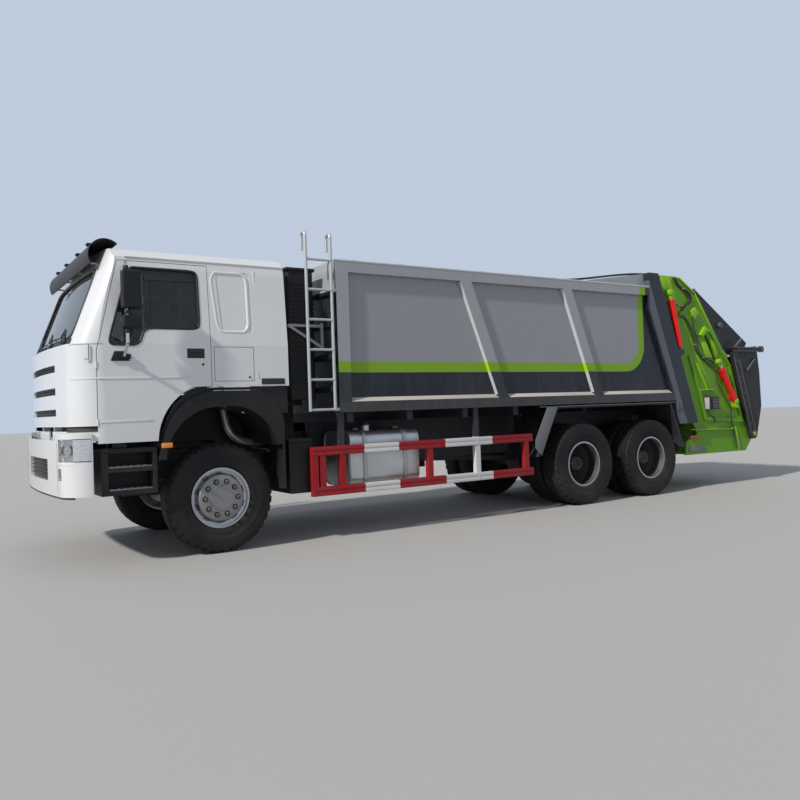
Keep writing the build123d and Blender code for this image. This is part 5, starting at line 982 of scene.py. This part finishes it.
def glass_of(name, tint, roughness, clear):
    """A thin tinted pane: mostly clear, with the gloss of glass and a light film of dust."""
    material, tree, surface = new_material(name)
    film = node_of(tree, "Group", {"Paint": (*tint, 1), "Amount": 0.1, "Top": 3.0,
                                   "Clean Roughness": roughness}, node_tree=road_dust).outputs
    feed(surface, {"IOR": 1.33, "Transmission Weight": clear, "Base Color": film["Color"],
                   "Roughness": film["Roughness"]})
    return material


cab_glass = glass_of("cab_glass", (0.3, 0.33, 0.33), 0.02, 0.94)
dress(cab_glass, "windscreen", "door_glass_left", "door_glass_right")
lamp_cover = glass_of("lamp_cover", (0.93, 0.95, 0.96), 0.03, 0.96)
dress(lamp_cover, "front_lamps")

# Lamps and bumper
# Clear covers over chromed bowls, a clear winker at the outer edge, and a fog lamp below with three upright
# elements. Dark mesh closes the air mouth in the middle of the bumper.
lamp_chrome = finish_of("lamp_chrome", (0.74, 0.76, 0.78), 0.12, metallic=0.8, dust=0.05, waves=55,
                        wave_height=0.012, coat=1.0)
for side, word in SIDES:
    pieces = [wall_round("back", bumper_nose, 0.0425, 0.978, 1.197, 0.004, side * 0.96, side * 1.2)]
    for y, outward in ((1.025, 0.12), (1.115, 0.75)):
        x, near_y = min(nose_line(*bumper_nose, inset=0.022), key=lambda point: abs(point[1] - side * y))
        centre = Vector((x, near_y, 1.087))
        aim = Vector((1.0, side * outward, 0)).normalized()
        pieces += [disc("bowl", centre - aim * 0.018, centre + aim * 0.01, 0.02, 28, 0.0, 0.044),
                   disc("bulb", centre, centre + aim * 0.013, 0.009, 16, 0.003)]
    fitted(f"headlamp_bowls_{word}", pieces, bright_trim, "chassis")
    winker = bar(f"winker_{word}", 5.082, 5.1, side * 1.2335, side * 1.2368, 1.0, 1.176, 0.001)
    finished(winker, lamp_chrome, "chassis")
    pieces = [wall_round("back", bumper_nose, 0.0425, 0.815, 0.928, 0.004, side * 0.95, side * 1.05)]
    for y in (0.98, 1.002, 1.024):
        x = on_screen(side * y, sill_z)[0] + 0.078
        pieces.append(disc("element", (x, side * y, 0.832), (x, side * y, 0.911), 0.0075, 12, 0.002))
    fitted(f"fog_lamp_{word}", pieces, bright_trim, "chassis")
for side, word in SIDES:
    y0, y1 = side * 1.17, side * 1.2347
    wrap = wall_round(f"lamp_wrap_{word}", bumper_nose, 0.0005, 0.992, 1.184, 0.0035, y0, y1)
    finished(wrap, lamp_chrome, "chassis")
    rims = [wall_round("rim", bumper_nose, 0.0005, z, z + 0.007, 0.0055, y0, y1) for z in (0.985, 1.184)]
    fitted(f"lamp_rims_{word}", rims, mesh_black, "chassis")
mouth = [wall_round("mesh", bumper_nose, 0.036, 0.795, 1.005, 0.003, -0.58, 0.58)]
mouth += [wall_round("fin", bumper_nose, 0.022, z, z + 0.012, 0.016, -0.562, 0.562)
          for z in (0.83, 0.87, 0.91, 0.95)]
fitted("air_mouth_mesh", mouth, mesh_black, "chassis")
skirt = wall_round("bumper_skirt", bumper_nose, 0.012, 0.65, 0.671, 0.01, -1.17, 1.17)
finished(skirt, mesh_black, "chassis")
crease = [wall_round("crease", bumper_nose, -0.001, 0.958, 0.966, 0.004, y0, y1)
          for y0, y1 in ((-1.2, -0.58), (0.58, 1.2))]
fitted("bumper_crease", crease, cab_paint, "chassis")

# Sun visor and mirrors
# A smoked sheet stands off the roof's edge on short struts and carries small marker lamps. Each door has two
# mirrors in black housings on a bent tube; the glass faces back, and the tube's foot has a black triangle.
smoke = finish_of("smoked_sheet", (0.012, 0.01, 0.011), 0.42, dust=0.08, dust_top=3.4, shine=0.3)
dress(smoke, "sun_visor")
dress(moulding, "mirror_left", "mirror_right")
struts = [disc("strut", on_screen(y, 2.835, -0.001), (5.0, y, 2.835), 0.009, 12)
          for y in (-0.86, -0.3, 0.3, 0.86)]
fitted("visor_struts", struts, cab_paint, "cab")
lamps = [bar("marker", 4.915, 4.985, y - 0.035, y + 0.035, 3.005, 3.03, 0.008, 3)
         for y in (-0.82, -0.3, 0.3, 0.82)]
fitted("visor_lamps", lamps, smoke, "cab")
mirror_silver = finish_of("mirror_silver", (0.78, 0.8, 0.82), 0.03, metallic=1.0, dust=0.08, dust_top=3.0)
arm_x, arm_y = 4.77, 1.403
for side, word in SIDES:
    panes = [bar("pane", 4.6385, 4.6405, side * 1.38, side * 1.426, low, high, 0.006)
             for low, high in ((2.385, 2.655), (2.195, 2.255))]
    fitted(f"mirror_panes_{word}", panes, mirror_silver, f"door_{word}")
    clamps = [disc("clamp", (arm_x, side * arm_y, z - 0.02), (arm_x, side * arm_y, z + 0.02), 0.024, 20, 0.004)
              for z in (2.145, 2.315, 2.715)]
    fitted(f"mirror_clamps_{word}", clamps, seal_rubber, f"door_{word}")
    arms = ((2.7, arm_x, arm_y, 2.755), (2.752, 4.732, 1.236, 2.7935), (2.29, arm_x, arm_y, 2.34),
            (2.035, arm_x, arm_y, 2.16), (2.04, 4.774, 1.285, 1.935))
    arms = [disc("arm", (arm_x, side * arm_y, z0), (x, side * y, z1), 0.0155, 20) for z0, x, y, z1 in arms]
    fitted(f"mirror_arms_{word}", arms, bright_trim, f"door_{word}")
    foot = bar(f"mirror_foot_{word}", 4.722, 4.888, side * 1.2485, side * 1.262, 1.885, 1.975, 0.006)
    for point in foot.data.vertices:
        if point.co.z > 1.93:
            point.co.x = 4.805 + (point.co.x - 4.805) * 0.62
    finished(foot, moulding, f"door_{word}")

# Tailgate
# Two green side plates with folded ribs, a roof, a trough and beams between them. The inside is rubbed bare by
# the load. Valve blocks, the clipped hydraulic hoses and the tail lamps are bolted on outside. The ribs and
# flanges are a brighter green as painted highlight; the valve blocks and the cast eyes and feet share that
# bright green as their own paint.
tail_green = finish_of("tail_green", (0.12, 0.31, 0.006), 0.42, dust=0.06, dust_top=3.2, waves=3,
                       wave_height=0.01, coat=0.08, shine=0.3)
tree = tail_green.node_tree
place, axes = own_place(tree)
inside = math_node(tree, "LESS_THAN", math_node(tree, "ABSOLUTE", axes["Y"]), 1.1195)
low_inside = math_node(tree, "MULTIPLY", inside, math_node(tree, "LESS_THAN", axes["Z"], 2.25))
rubbed = math_node(tree, "MULTIPLY", low_inside, speckle(tree, place, 5, 8, 0.4, 0.52))
chips = math_node(tree, "MULTIPLY", speckle(tree, place, 38, 10, 0.66, 0.7), 0.5)
worn_green = over(tree, (0.12, 0.31, 0.006), (0.1, 0.095, 0.085), math_node(tree, "MAXIMUM", rubbed, chips))
feed(tree.nodes["dirt"], {"Paint": worn_green})
# a brighter green: painted highlight on the ribs and flanges, and the own paint of the blocks, eyes and feet
bright_green_and_highlight = finish_of("bright_green_and_highlight", (0.25, 0.5, 0.006), 0.4, dust=0.05, dust_top=3.2, waves=6,
                         wave_height=0.004, coat=0.08, shine=0.3)
dress(tail_green, "tailgate_shell")


def both_sides(name, piece, material, body):
    """Finishes a left hand piece, or a list of them as one, and its mirror image on the right."""
    if isinstance(piece, list):
        piece = joined(name, piece)
    twin = copy_of(piece, f"{name}_right", ACROSS)
    piece.name = f"{name}_left"
    finished(piece, material, body)
    finished(twin, material, body)


plate_y = 1.1495
ear = [(-2.868, 2.995), (-2.925, 3.192), (-3.165, 3.192), (-3.19, 2.995)]
ear = plate_of("ear", ear, plate_y, 1.1535, 0.001)
both_sides("tail_ear", ear, bright_green_and_highlight, "tailgate")
rib = [(-3.075, 3.17), (-3.33, 2.64), (-3.545, 2.3), (-3.69, 2.03), (-3.965, 1.625)]
both_sides("front_rib", strip_along("rib", rib, 0.03, plate_y, 1.1545), bright_green_and_highlight, "tailgate")
flange = [(-3.32, 3.18), (-3.69, 2.96), (-4.3, 2.115), (-4.465, 1.99)]
flange = strip_along("flange", flange, 0.022, plate_y, 1.172)
both_sides("rear_flange", flange, bright_green_and_highlight, "tailgate")
shelf = [([(-3.72, 1.498), (-4.06, 1.498), (-4.06, 1.482), (-3.72, 1.482)], 1.185),
         ([(-3.66, 1.9), (-3.675, 1.9), (-3.93, 1.485), (-3.9, 1.485)], 1.182),
         ([(-3.47, 0.905), (-4.5, 0.875), (-4.5, 0.86), (-3.47, 0.89)], 1.188),
         ([(-4.56, 0.905), (-4.58, 0.905), (-4.68, 0.515), (-4.64, 0.515)], 1.18)]
shelf = [plate_of("shelf", corners, plate_y, y1) for corners, y1 in shelf]
both_sides("side_ribs", shelf, bright_green_and_highlight, "tailgate")
blocks = [([(-3.56, 2.69), (-3.655, 2.75), (-3.745, 2.66), (-3.635, 2.56)], 1.188, 0.004),
          ([(-3.753, 2.33), (-3.873, 2.46), (-3.958, 2.425), (-3.823, 2.3)], 1.195, 0.004),
          ([(-3.8, 2.205), (-3.918, 2.24), (-4.072, 1.99), (-3.915, 1.985)], 1.163, 0.003),
          ([(-4.0, 2.3), (-4.12, 2.23), (-4.215, 2.09), (-4.185, 1.985)], 1.163, 0.003)]
blocks = [plate_of("block", corners, plate_y, y1, bevel) for corners, y1, bevel in blocks]
both_sides("valve_blocks", blocks, bright_green_and_highlight, "tailgate")
fittings = []
for x, z in ((-3.275, 2.765), (-3.37, 2.76), (-3.325, 2.655), (-3.285, 2.62), (-3.62, 2.64), (-3.675, 2.69),
             (-3.814, 2.36), (-3.869, 2.4), (-4.1, 1.9), (-4.1, 1.815)):
    fittings += [pin("nut", x, z, 1.15, 1.176, 0.0165, 6, 0.002),
                 pin("ferrule", x, z, 1.174, 1.19, 0.011, 16, 0.002)]
both_sides("hose_fittings", fittings, brass, "tailgate")
runs = [([(-3.211, 3.17), (-3.24, 3.098), (-3.336, 3.029), (-3.469, 3.004), (-3.575, 2.946), (-3.6, 2.862),
          (-3.575, 2.815), (-3.456, 2.777), (-3.37, 2.76)], 0.014),
        ([(-3.25, 3.15), (-3.29, 3.07), (-3.4, 3.02), (-3.5, 2.94), (-3.54, 2.83), (-3.42, 2.74),
          (-3.325, 2.655)], 0.012),
        ([(-3.285, 2.62), (-3.4, 2.6), (-3.49, 2.52), (-3.55, 2.43), (-3.59, 2.33), (-3.64, 2.23),
          (-3.625, 2.14), (-3.7, 2.05), (-3.86, 1.975), (-4.0, 1.955), (-4.1, 1.9)], 0.013),
        ([(-3.62, 2.64), (-3.6, 2.52), (-3.62, 2.4), (-3.69, 2.3), (-3.72, 2.18), (-3.7, 2.1), (-3.78, 1.99),
          (-3.94, 1.9), (-4.1, 1.815)], 0.012),
        ([(-4.14, 1.83), (-4.16, 1.7), (-4.17, 1.56), (-4.3, 1.4), (-4.4, 1.3), (-4.46, 1.2)], 0.01),
        ([(-4.47, 1.21), (-4.46, 1.08), (-4.48, 0.96), (-4.53, 0.76), (-4.59, 0.56)], 0.011),
        ([(-3.85, 1.43), (-3.87, 1.395), (-3.86, 1.3)], 0.009),
        ([(-3.88, 1.2), (-3.89, 1.12), (-3.96, 1.09), (-4.04, 1.06), (-4.05, 0.98)], 0.009)]
for number, (path, radius) in enumerate(runs):
    for side, word in SIDES:
        points = [(x, side * (1.168 + 0.002 * number), z) for x, z in path]
        hose(f"tail_hose_{number}_{word}", points, radius, "tailgate")
clips = [bar("clip", x - 0.022, x + 0.022, plate_y, 1.187, z - 0.008, z + 0.008, 0.003)
         for x, z in ((-3.4, 3.014), (-3.625, 2.18), (-3.82, 1.985), (-4.5, 0.88))]
both_sides("hose_clips", clips, nut_steel, "tailgate")
face = [bar("rib", -4.072, -3.925, 1.2445, 1.2485, z, z + 0.01, 0.002)
        for z in [1.215 + 0.022 * k for k in range(7)]]
both_sides("switch_box_ribs", face, lip_steel, "tailgate")
cheek = bar("cheek", -3.8395, -3.8345, 1.153, 1.243, 1.195, 1.37, 0.002)
both_sides("switch_box_cheek", cheek, pale_paint, "tailgate")
hook = pin("hook", -3.455, 0.79, 1.148, 1.215, 0.022, 20, 0.004)
handle = disc("handle", (-3.455, 1.2, 0.79), (-3.62, 1.2, 0.765), 0.013, 16, 0.003)
guard_red = finish_of("guard_red", (0.46, 0.022, 0.016), 0.4, dust=0.3)
both_sides("latch_hook", [hook, handle], guard_red, "tailgate")
kick = bar("kick", -3.82, -3.44, plate_y, 1.157, 0.555, 0.64, 0.003)
both_sides("kick_plate", kick, lip_steel, "tailgate")
ribs = [bar("rib", -3.295, -2.945, y - 0.025, y + 0.025, 3.192, 3.204, 0.004)
        for y in (-0.8, -0.4, 0.0, 0.4, 0.8)]
fitted("tail_roof_ribs", ribs, tail_green, "tailgate")
for side, word in SIDES:
    box = bar(f"tail_lamp_{word}", -4.885, -4.852, side * 0.72, side * 1.1, 0.515, 0.605, 0.008, 3)
    finished(box, moulding, "tailgate")
    lenses = ((0.735, 0.845, red_lens), (0.853, 0.963, amber), (0.971, 1.085, red_lens))
    for number, (y0, y1, lens) in enumerate(lenses):
        glass = bar(f"tail_lens_{number}_{word}", -4.8925, -4.882, side * y0, side * y1, 0.525, 0.595, 0.006, 3)
        finished(glass, lens, "tailgate")

# Cylinders
# Double acting hydraulic cylinders with red barrels and gland rings and hard chromed rods. The eyes and the
# feet are cast and painted in the tailgate's bright green.
cylinder_red = finish_of("cylinder_red", (0.75, 0.006, 0.008), 0.3, dust=0.05, dust_top=3.2, coat=0.2,
                         shine=0.35)
dress(cylinder_red, "lift_barrels", "packer_barrels")
chrome = finish_of("rod_chrome", (0.7, 0.71, 0.72), 0.12, metallic=1.0, dust=0.12, dust_top=3.2, waves=20,
                   wave_height=0.0003)
dress(chrome, "lift_rods")


def ring_on(cylinder, low, high, radius):
    """A short sleeve round a cylinder, between two distances from its foot."""
    (x, z), (run_x, run_z), y = cylinder
    return disc("sleeve", (x + run_x * low, y, z + run_z * low), (x + run_x * high, y, z + run_z * high),
                radius, 32, 0.003)


lift = ((-3.25, 2.06), (0.224041, 0.97458), 1.205)
packer = ((-4.55, 1.3), (0.522708, 0.852512), 1.2)
for name, cylinder, reach, body in (("lift", lift, 0.79, "lift_barrels"), ("packer", packer, 0.6, "tailgate")):
    collars = [ring_on(cylinder, reach - 0.045, reach - 0.004, 0.0475), ring_on(cylinder, 0.098, 0.118, 0.047)]
    both_sides(f"{name}_collars", collars, cylinder_red, body)
    (x, z), (run_x, run_z), y = cylinder
    ports = [disc("port", (x + run_x * d - 0.04, y, z + run_z * d + 0.02),
                  (x + run_x * d - 0.062, y, z + run_z * d + 0.032), 0.013, 6, 0.002)
             for d in (0.16, reach - 0.08)]
    both_sides(f"{name}_ports", ports, brass, body)
eye = [pin("eye", -3.05, 2.93, 1.1555, 1.2455, 0.0505, 32, 0.004),
       pin("pin", -3.05, 2.93, 1.245, 1.25, 0.02, 24, 0.002), ring_on(lift, 0.8, 0.85, 0.034)]
both_sides("lift_eyes", eye, bright_green_and_highlight, "lift_rods")
eye = [pin("eye", -4.17, 1.92, 1.1685, 1.232, 0.0445, 32, 0.004),
       pin("pin", -4.17, 1.92, 1.2315, 1.238, 0.024, 24, 0.002), ring_on(packer, 0.655, 0.695, 0.033)]
both_sides("packer_eyes", eye, bright_green_and_highlight, "packer")
# a sheet on the carriage's pins, close inside the side plates, keeps the load out of the slots
shield = [(-4.2505, 1.899), (-4.1515, 1.839), (-3.8545, 2.325), (-3.9535, 2.385)]
shield = plate_of("shield", shield, 1.1, 1.106, 0.001)
both_sides("slot_shield", shield, tail_green, "packer")
both_sides("packer_rod_sleeves", ring_on(packer, 0.602, 0.655, 0.0246), chrome, "packer")
foot = [pin("foot", -4.55, 1.3, 1.151, 1.246, 0.04, 24, 0.004),
        plate_of("shoe", [(-4.5, 1.27), (-4.585, 1.235), (-4.6, 1.19), (-4.53, 1.2)], plate_y, 1.24, 0.004)]
both_sides("packer_feet", foot, bright_green_and_highlight, "tailgate")

# Hopper cover and bin loader
# Both are welded from black sheet. The cover is a slanted lid with cheeks and folded edges; the loader is two
# box posts with arms, a ribbed back and grey stays, turning on the tailgate's lower corners.
cover_paint = finish_of("cover_paint", (0.014, 0.015, 0.018), 0.36, dust=0.12, dust_top=3.2, waves=4,
                        wave_height=0.008, coat=0.04, shine=0.25)
dress(cover_paint, "hopper_cover", "folding_loader")
stay_grey = finish_of("stay_grey", (0.075, 0.078, 0.086), 0.38, dust=0.2, dust_top=3.0)
edge = [(-3.835, 2.905), (-4.035, 2.64), (-4.32, 2.24), (-4.45, 2.075)]
edge = strip_along("edge", edge, 0.018, 1.099, 1.118)
both_sides("cover_edge", edge, stay_grey, "hopper_cover")
boss = [pin("boss", -4.354, 2.5, 1.099, 1.14, 0.045, 28, 0.005),
        pin("pin", -4.354, 2.5, 1.139, 1.146, 0.02, 20, 0.002)]
both_sides("cover_boss", boss, stay_grey, "hopper_cover")
slope = (-0.847998, -0.529999)
section = [(-3.77 + slope[0] * d - slope[1] * h, 3.02 + slope[1] * d + slope[0] * -h)
           for d, h in ((0.16, 0.019), (1.42, 0.019), (1.42 - 0.02, 0.036), (0.16 + 0.02, 0.036))]
ridges = [plate_of("ridge", section, y - 0.025, y + 0.025, 0.003)
          for y in (-0.93, -0.55, -0.18, 0.18, 0.55, 0.93)]
fitted("cover_ridges", ridges, cover_paint, "hopper_cover")
barrels = [pin("barrel", -3.77, 3.02, y - 0.045, y + 0.045, 0.0295, 20, 0.003)
           for y in (-1.06, -0.42, 0.42, 1.06)]
fitted("cover_hinges", barrels, stay_grey, "hopper_cover")
edges = (([(-4.655, 1.955), (-5.035, 0.745)], 0.016, 1.236), ([(-4.525, 1.995), (-4.905, 0.785)], 0.016, 1.236),
         ([(-4.51, 2.15), (-5.28, 2.15)], 0.014, 1.234), ([(-4.51, 2.092), (-5.28, 2.092)], 0.014, 1.234))
edges = [strip_along("edge", path, width, 1.2245, y1) for path, width, y1 in edges]
both_sides("loader_edges", edges, stay_grey, "loader")
bolts = [pin("bolt", -4.6 - 0.31 * k / 4, 1.93 - 1.0 * k / 4, 1.224, 1.234, 0.013, 6, 0.002) for k in range(5)]
bolts += [pin("roll", -5.3, 2.13, 1.222, 1.236, 0.036, 28, 0.004),
          pin("hub", -4.98, 0.77, 1.233, 1.2445, 0.052, 28, 0.004)]
both_sides("loader_bolts", bolts, stay_grey, "loader")
caps = pin("cap", -4.98, 0.77, 1.2435, 1.2495, 0.03, 24, 0.003)
both_sides("loader_pin_caps", caps, bright_green_and_highlight, "loader")
stays = [disc("stay", (-4.6, 1.2, 2.155), (-4.78, 1.2, 2.29), 0.02, 20, 0.003),
         disc("stay", (-4.9, 1.195, 1.78), (-5.12, 1.195, 1.975), 0.019, 20, 0.003)]
both_sides("loader_stays", stays, stay_grey, "loader")
rib = [(-5.258, 1.77), (-5.278, 1.23), (-5.3, 1.25), (-5.284, 1.75)]
ribs = [plate_of("rib", rib, y - 0.03, y + 0.03, 0.003) for y in (-0.95, -0.48, 0.0, 0.48, 0.95)]
ribs += [bar("rail", -5.296, -5.262, -1.1, 1.1, z - 0.02, z + 0.02, 0.005) for z in (1.3, 1.5, 1.7)]
fitted("loader_back_ribs", ribs, cover_paint, "loader")
roll = pin("loader_roll", -5.3, 2.13, -1.163, 1.163, 0.03, 28)
finished(roll, stay_grey, "loader")
marks = [bar("mark", -5.3065, -5.2945, y - 0.055, y + 0.055, 1.375, 1.425, 0.004) for y in (-0.72, 0.72)]
fitted("rear_reflectors", marks, red_lens, "loader")

# Cabin
# Two sprung seats and a bunk, upholstered in grey woven cloth over foam; red curtains hang on a rail by the
# doors. The dashboard is grained plastic, and the walls and the roof are lined with dark trim.
cabin_plastic = finish_of("cabin_plastic", (0.035, 0.036, 0.038), 0.6, dust=0.15, dust_top=3.0, waves=30,
                          wave_height=0.001, grain=0.0008)
dress(cabin_plastic, "dashboard")


def cloth_of(name, light, dark, scale, sheen):
    """Woven cloth: crossing threads in two shades, with a soft sheen."""
    material, tree, surface = new_material(name)
    place = own_place(tree)[0]
    threads = []
    for turn in (0.785, -0.785):
        along = node_of(tree, "Mapping", {"Rotation": (turn, 0.3, turn), "Vector": place})
        wave = node_of(tree, "TexWave", {"Scale": scale, "Distortion": 0.6, "Vector": along.outputs[0]})
        threads.append(wave.outputs["Fac"])
    weave = math_node(tree, "MULTIPLY", *threads)
    worn = math_node(tree, "MULTIPLY", speckle(tree, place, 9, 5, 0.35, 0.7), 0.4)
    shade = math_node(tree, "ADD", math_node(tree, "MULTIPLY", weave, 0.6), worn, clamp=True)
    bump = node_of(tree, "Bump", {"Distance": 0.0015, "Height": weave})
    feed(surface, {"Roughness": 0.9, "Sheen Weight": sheen, "Base Color": over(tree, dark, light, shade),
                   "Normal": bump.outputs["Normal"]})
    return material


seat_cloth = cloth_of("seat_cloth", (0.11, 0.11, 0.12), (0.035, 0.036, 0.042), 160, 0.3)
curtain_cloth = cloth_of("curtain_cloth", (0.5, 0.02, 0.035), (0.28, 0.01, 0.02), 220, 0.4)


def stuffed(name, corners, y0, y1):
    """A foam pad: a soft edged block, swollen by a cloth simulation and left smooth."""
    piece = plate_of(name, corners, y0, y1, 0)
    ease(piece, 0.03, 4)
    applied(piece, "grain", "REMESH", mode="VOXEL", voxel_size=0.016)
    rest = [point.co.copy() for point in piece.data.vertices]
    skin = piece.modifiers.new("skin", "CLOTH")
    skin.settings.use_pressure = True
    skin.settings.uniform_pressure_force = 4
    skin.settings.effector_weights.gravity = 0
    scene = bpy.context.scene
    for frame_number in range(1, 21):
        scene.frame_set(frame_number)
    bpy.ops.object.modifier_apply(modifier="skin")
    scene.frame_set(1)
    for point, start in zip(piece.data.vertices, rest):
        step = point.co - start
        if step.length > 0.022:
            point.co = start + step * (0.022 / step.length)
    applied(piece, "smooth", "SUBSURF", levels=1, render_levels=1)
    finished(piece, seat_cloth, "cab", 60)
    return piece


mattress = [(3.225, 2.045), (3.72, 2.045), (3.72, 2.12), (3.225, 2.12)]
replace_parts(stuffed("bunk_mattress", mattress, -1.045, 1.045), "seats_and_bunk")
pads = (("seat_cushion", [(3.9, 1.985), (4.345, 1.985), (4.345, 2.085), (3.9, 2.085)], 0.235, 0.7),
        ("seat_back", [(3.925, 2.11), (3.82, 2.52), (3.755, 2.52), (3.85, 2.08)], 0.215, 0.7),
        ("head_rest", [(3.835, 2.56), (3.815, 2.7), (3.75, 2.7), (3.765, 2.56)], 0.13, 0.8))
for y, word in ((0.48, "left"), (-0.48, "right")):
    for label, corners, half, fill in pads:
        stuffed(f"{label}_{word}", corners, y - half, y + half)
    frame_parts = [bar("post", 3.77, 3.79, y0, y0 + 0.012, 2.5, 2.6, 0.003) for y0 in (y - 0.07, y + 0.058)]
    frame_parts += [bar("bellows", 3.99, 4.29, y - 0.16, y + 0.16, 1.7, 1.95, 0.03, 3),
                    bar("pan", 3.9, 4.35, y - 0.2, y + 0.2, 1.935, 1.968, 0.012, 3)]
    frame_parts += [bar("fold", 3.98, 4.3, y - 0.17, y + 0.17, z, z + 0.02, 0.009)
                    for z in (1.74, 1.79, 1.84, 1.89)]
    fitted(f"seat_frame_{word}", frame_parts, cabin_plastic, "cab")
base = [bar("base", 3.2, 3.735, -1.09, 1.09, 1.7, 2.0, 0.012, 3),
        bar("rail", 3.735, 3.75, -1.09, 1.09, 1.96, 2.04, 0.005)]
fitted("bunk_base", base, cabin_plastic, "cab")
curtain_x, drop, columns, rows = 4.01, 0.6, 70, 14
for side, word in SIDES:
    path = [(curtain_x + 0.0034 * k, 1.118 + 0.02 * math.sin(k * 0.72)) for k in range(columns)]
    nothing_selected()
    bpy.ops.mesh.primitive_grid_add(x_subdivisions=columns - 1, y_subdivisions=rows, size=1)
    curtain = bpy.context.object
    curtain.name = f"curtain_{word}"
    for number, point in enumerate(curtain.data.vertices):
        row, column = divmod(number, columns)
        share = row / rows
        x, y = path[column]
        narrow = curtain_x + (x - curtain_x) * (1 - 0.16 * math.sin(math.pi * share))
        point.co = (narrow, side * (y - 0.045 * share), 2.13 + drop * share)
    applied(curtain, "hem", "SOLIDIFY", thickness=0.0016)
    finished(curtain, curtain_cloth, "cab", 60)
    rail = disc(f"curtain_rail_{word}", (3.96, side * 1.073, 2.738), (4.78, side * 1.073, 2.738), 0.007, 14)
    finished(rail, lip_steel, "cab")
    trims = [side_panel("trim", 4.115, 4.965, 1.7, 2.01, side, -0.0515, 0.062, 0.004),
             side_panel("trim", 4.02, 4.115, 1.7, 2.78, side, -0.0515, 0.058, 0.003)]
    fitted(f"door_trim_{word}", trims, cabin_plastic, f"door_{word}")
    wall = side_panel(f"cab_lining_{word}", 3.205, 3.925, 1.72, 2.8, side, -0.052, 0.06, 0.004)
    finished(wall, cabin_plastic, "cab")
    bands = [side_panel("band", 4.065, 4.69, 2.672, 2.757, side, -0.0135, 0.017, 0.001),
             side_panel("divider", 4.52, 4.542, 2.2, 2.69, side, -0.012, 0.0172, 0.001),
             side_panel("sash", 4.065, 4.53, 2.655, 2.674, side, -0.0115, 0.0172, 0.001)]
    fitted(f"window_bands_{word}", bands, seal_rubber, f"door_{word}")
lining = [bar("back", 3.187, 3.193, -1.17, 1.17, 1.72, 2.84, 0.002),
          bar("roof", 3.2, 4.85, -1.06, 1.06, 2.858, 2.866, 0.003),
          bar("mat", 3.76, 4.48, -1.15, 1.15, 1.6915, 1.699, 0.003)]
fitted("cab_lining", lining, cabin_plastic, "cab")
panel = [bar("hood", 4.8, 4.93, 0.26, 0.7, 2.06, 2.115, 0.02, 4),
         bar("screen", 4.725, 4.76, -0.12, 0.14, 1.93, 2.05, 0.008, 3),
         bar("shelf", 4.74, 5.0, -1.0, -0.3, 2.07, 2.082, 0.004)]
panel += [bar("vent", 4.716, 4.745, y - 0.05, y + 0.05, 1.965, 2.015, 0.006, 3) for y in (0.88, -0.35, -0.88)]
panel += [disc("horn", (4.603, 0.48, 2.098), (4.59, 0.48, 2.118), 0.06, 28, 0.006)]
fitted("dash_fittings", panel, moulding, "cab")
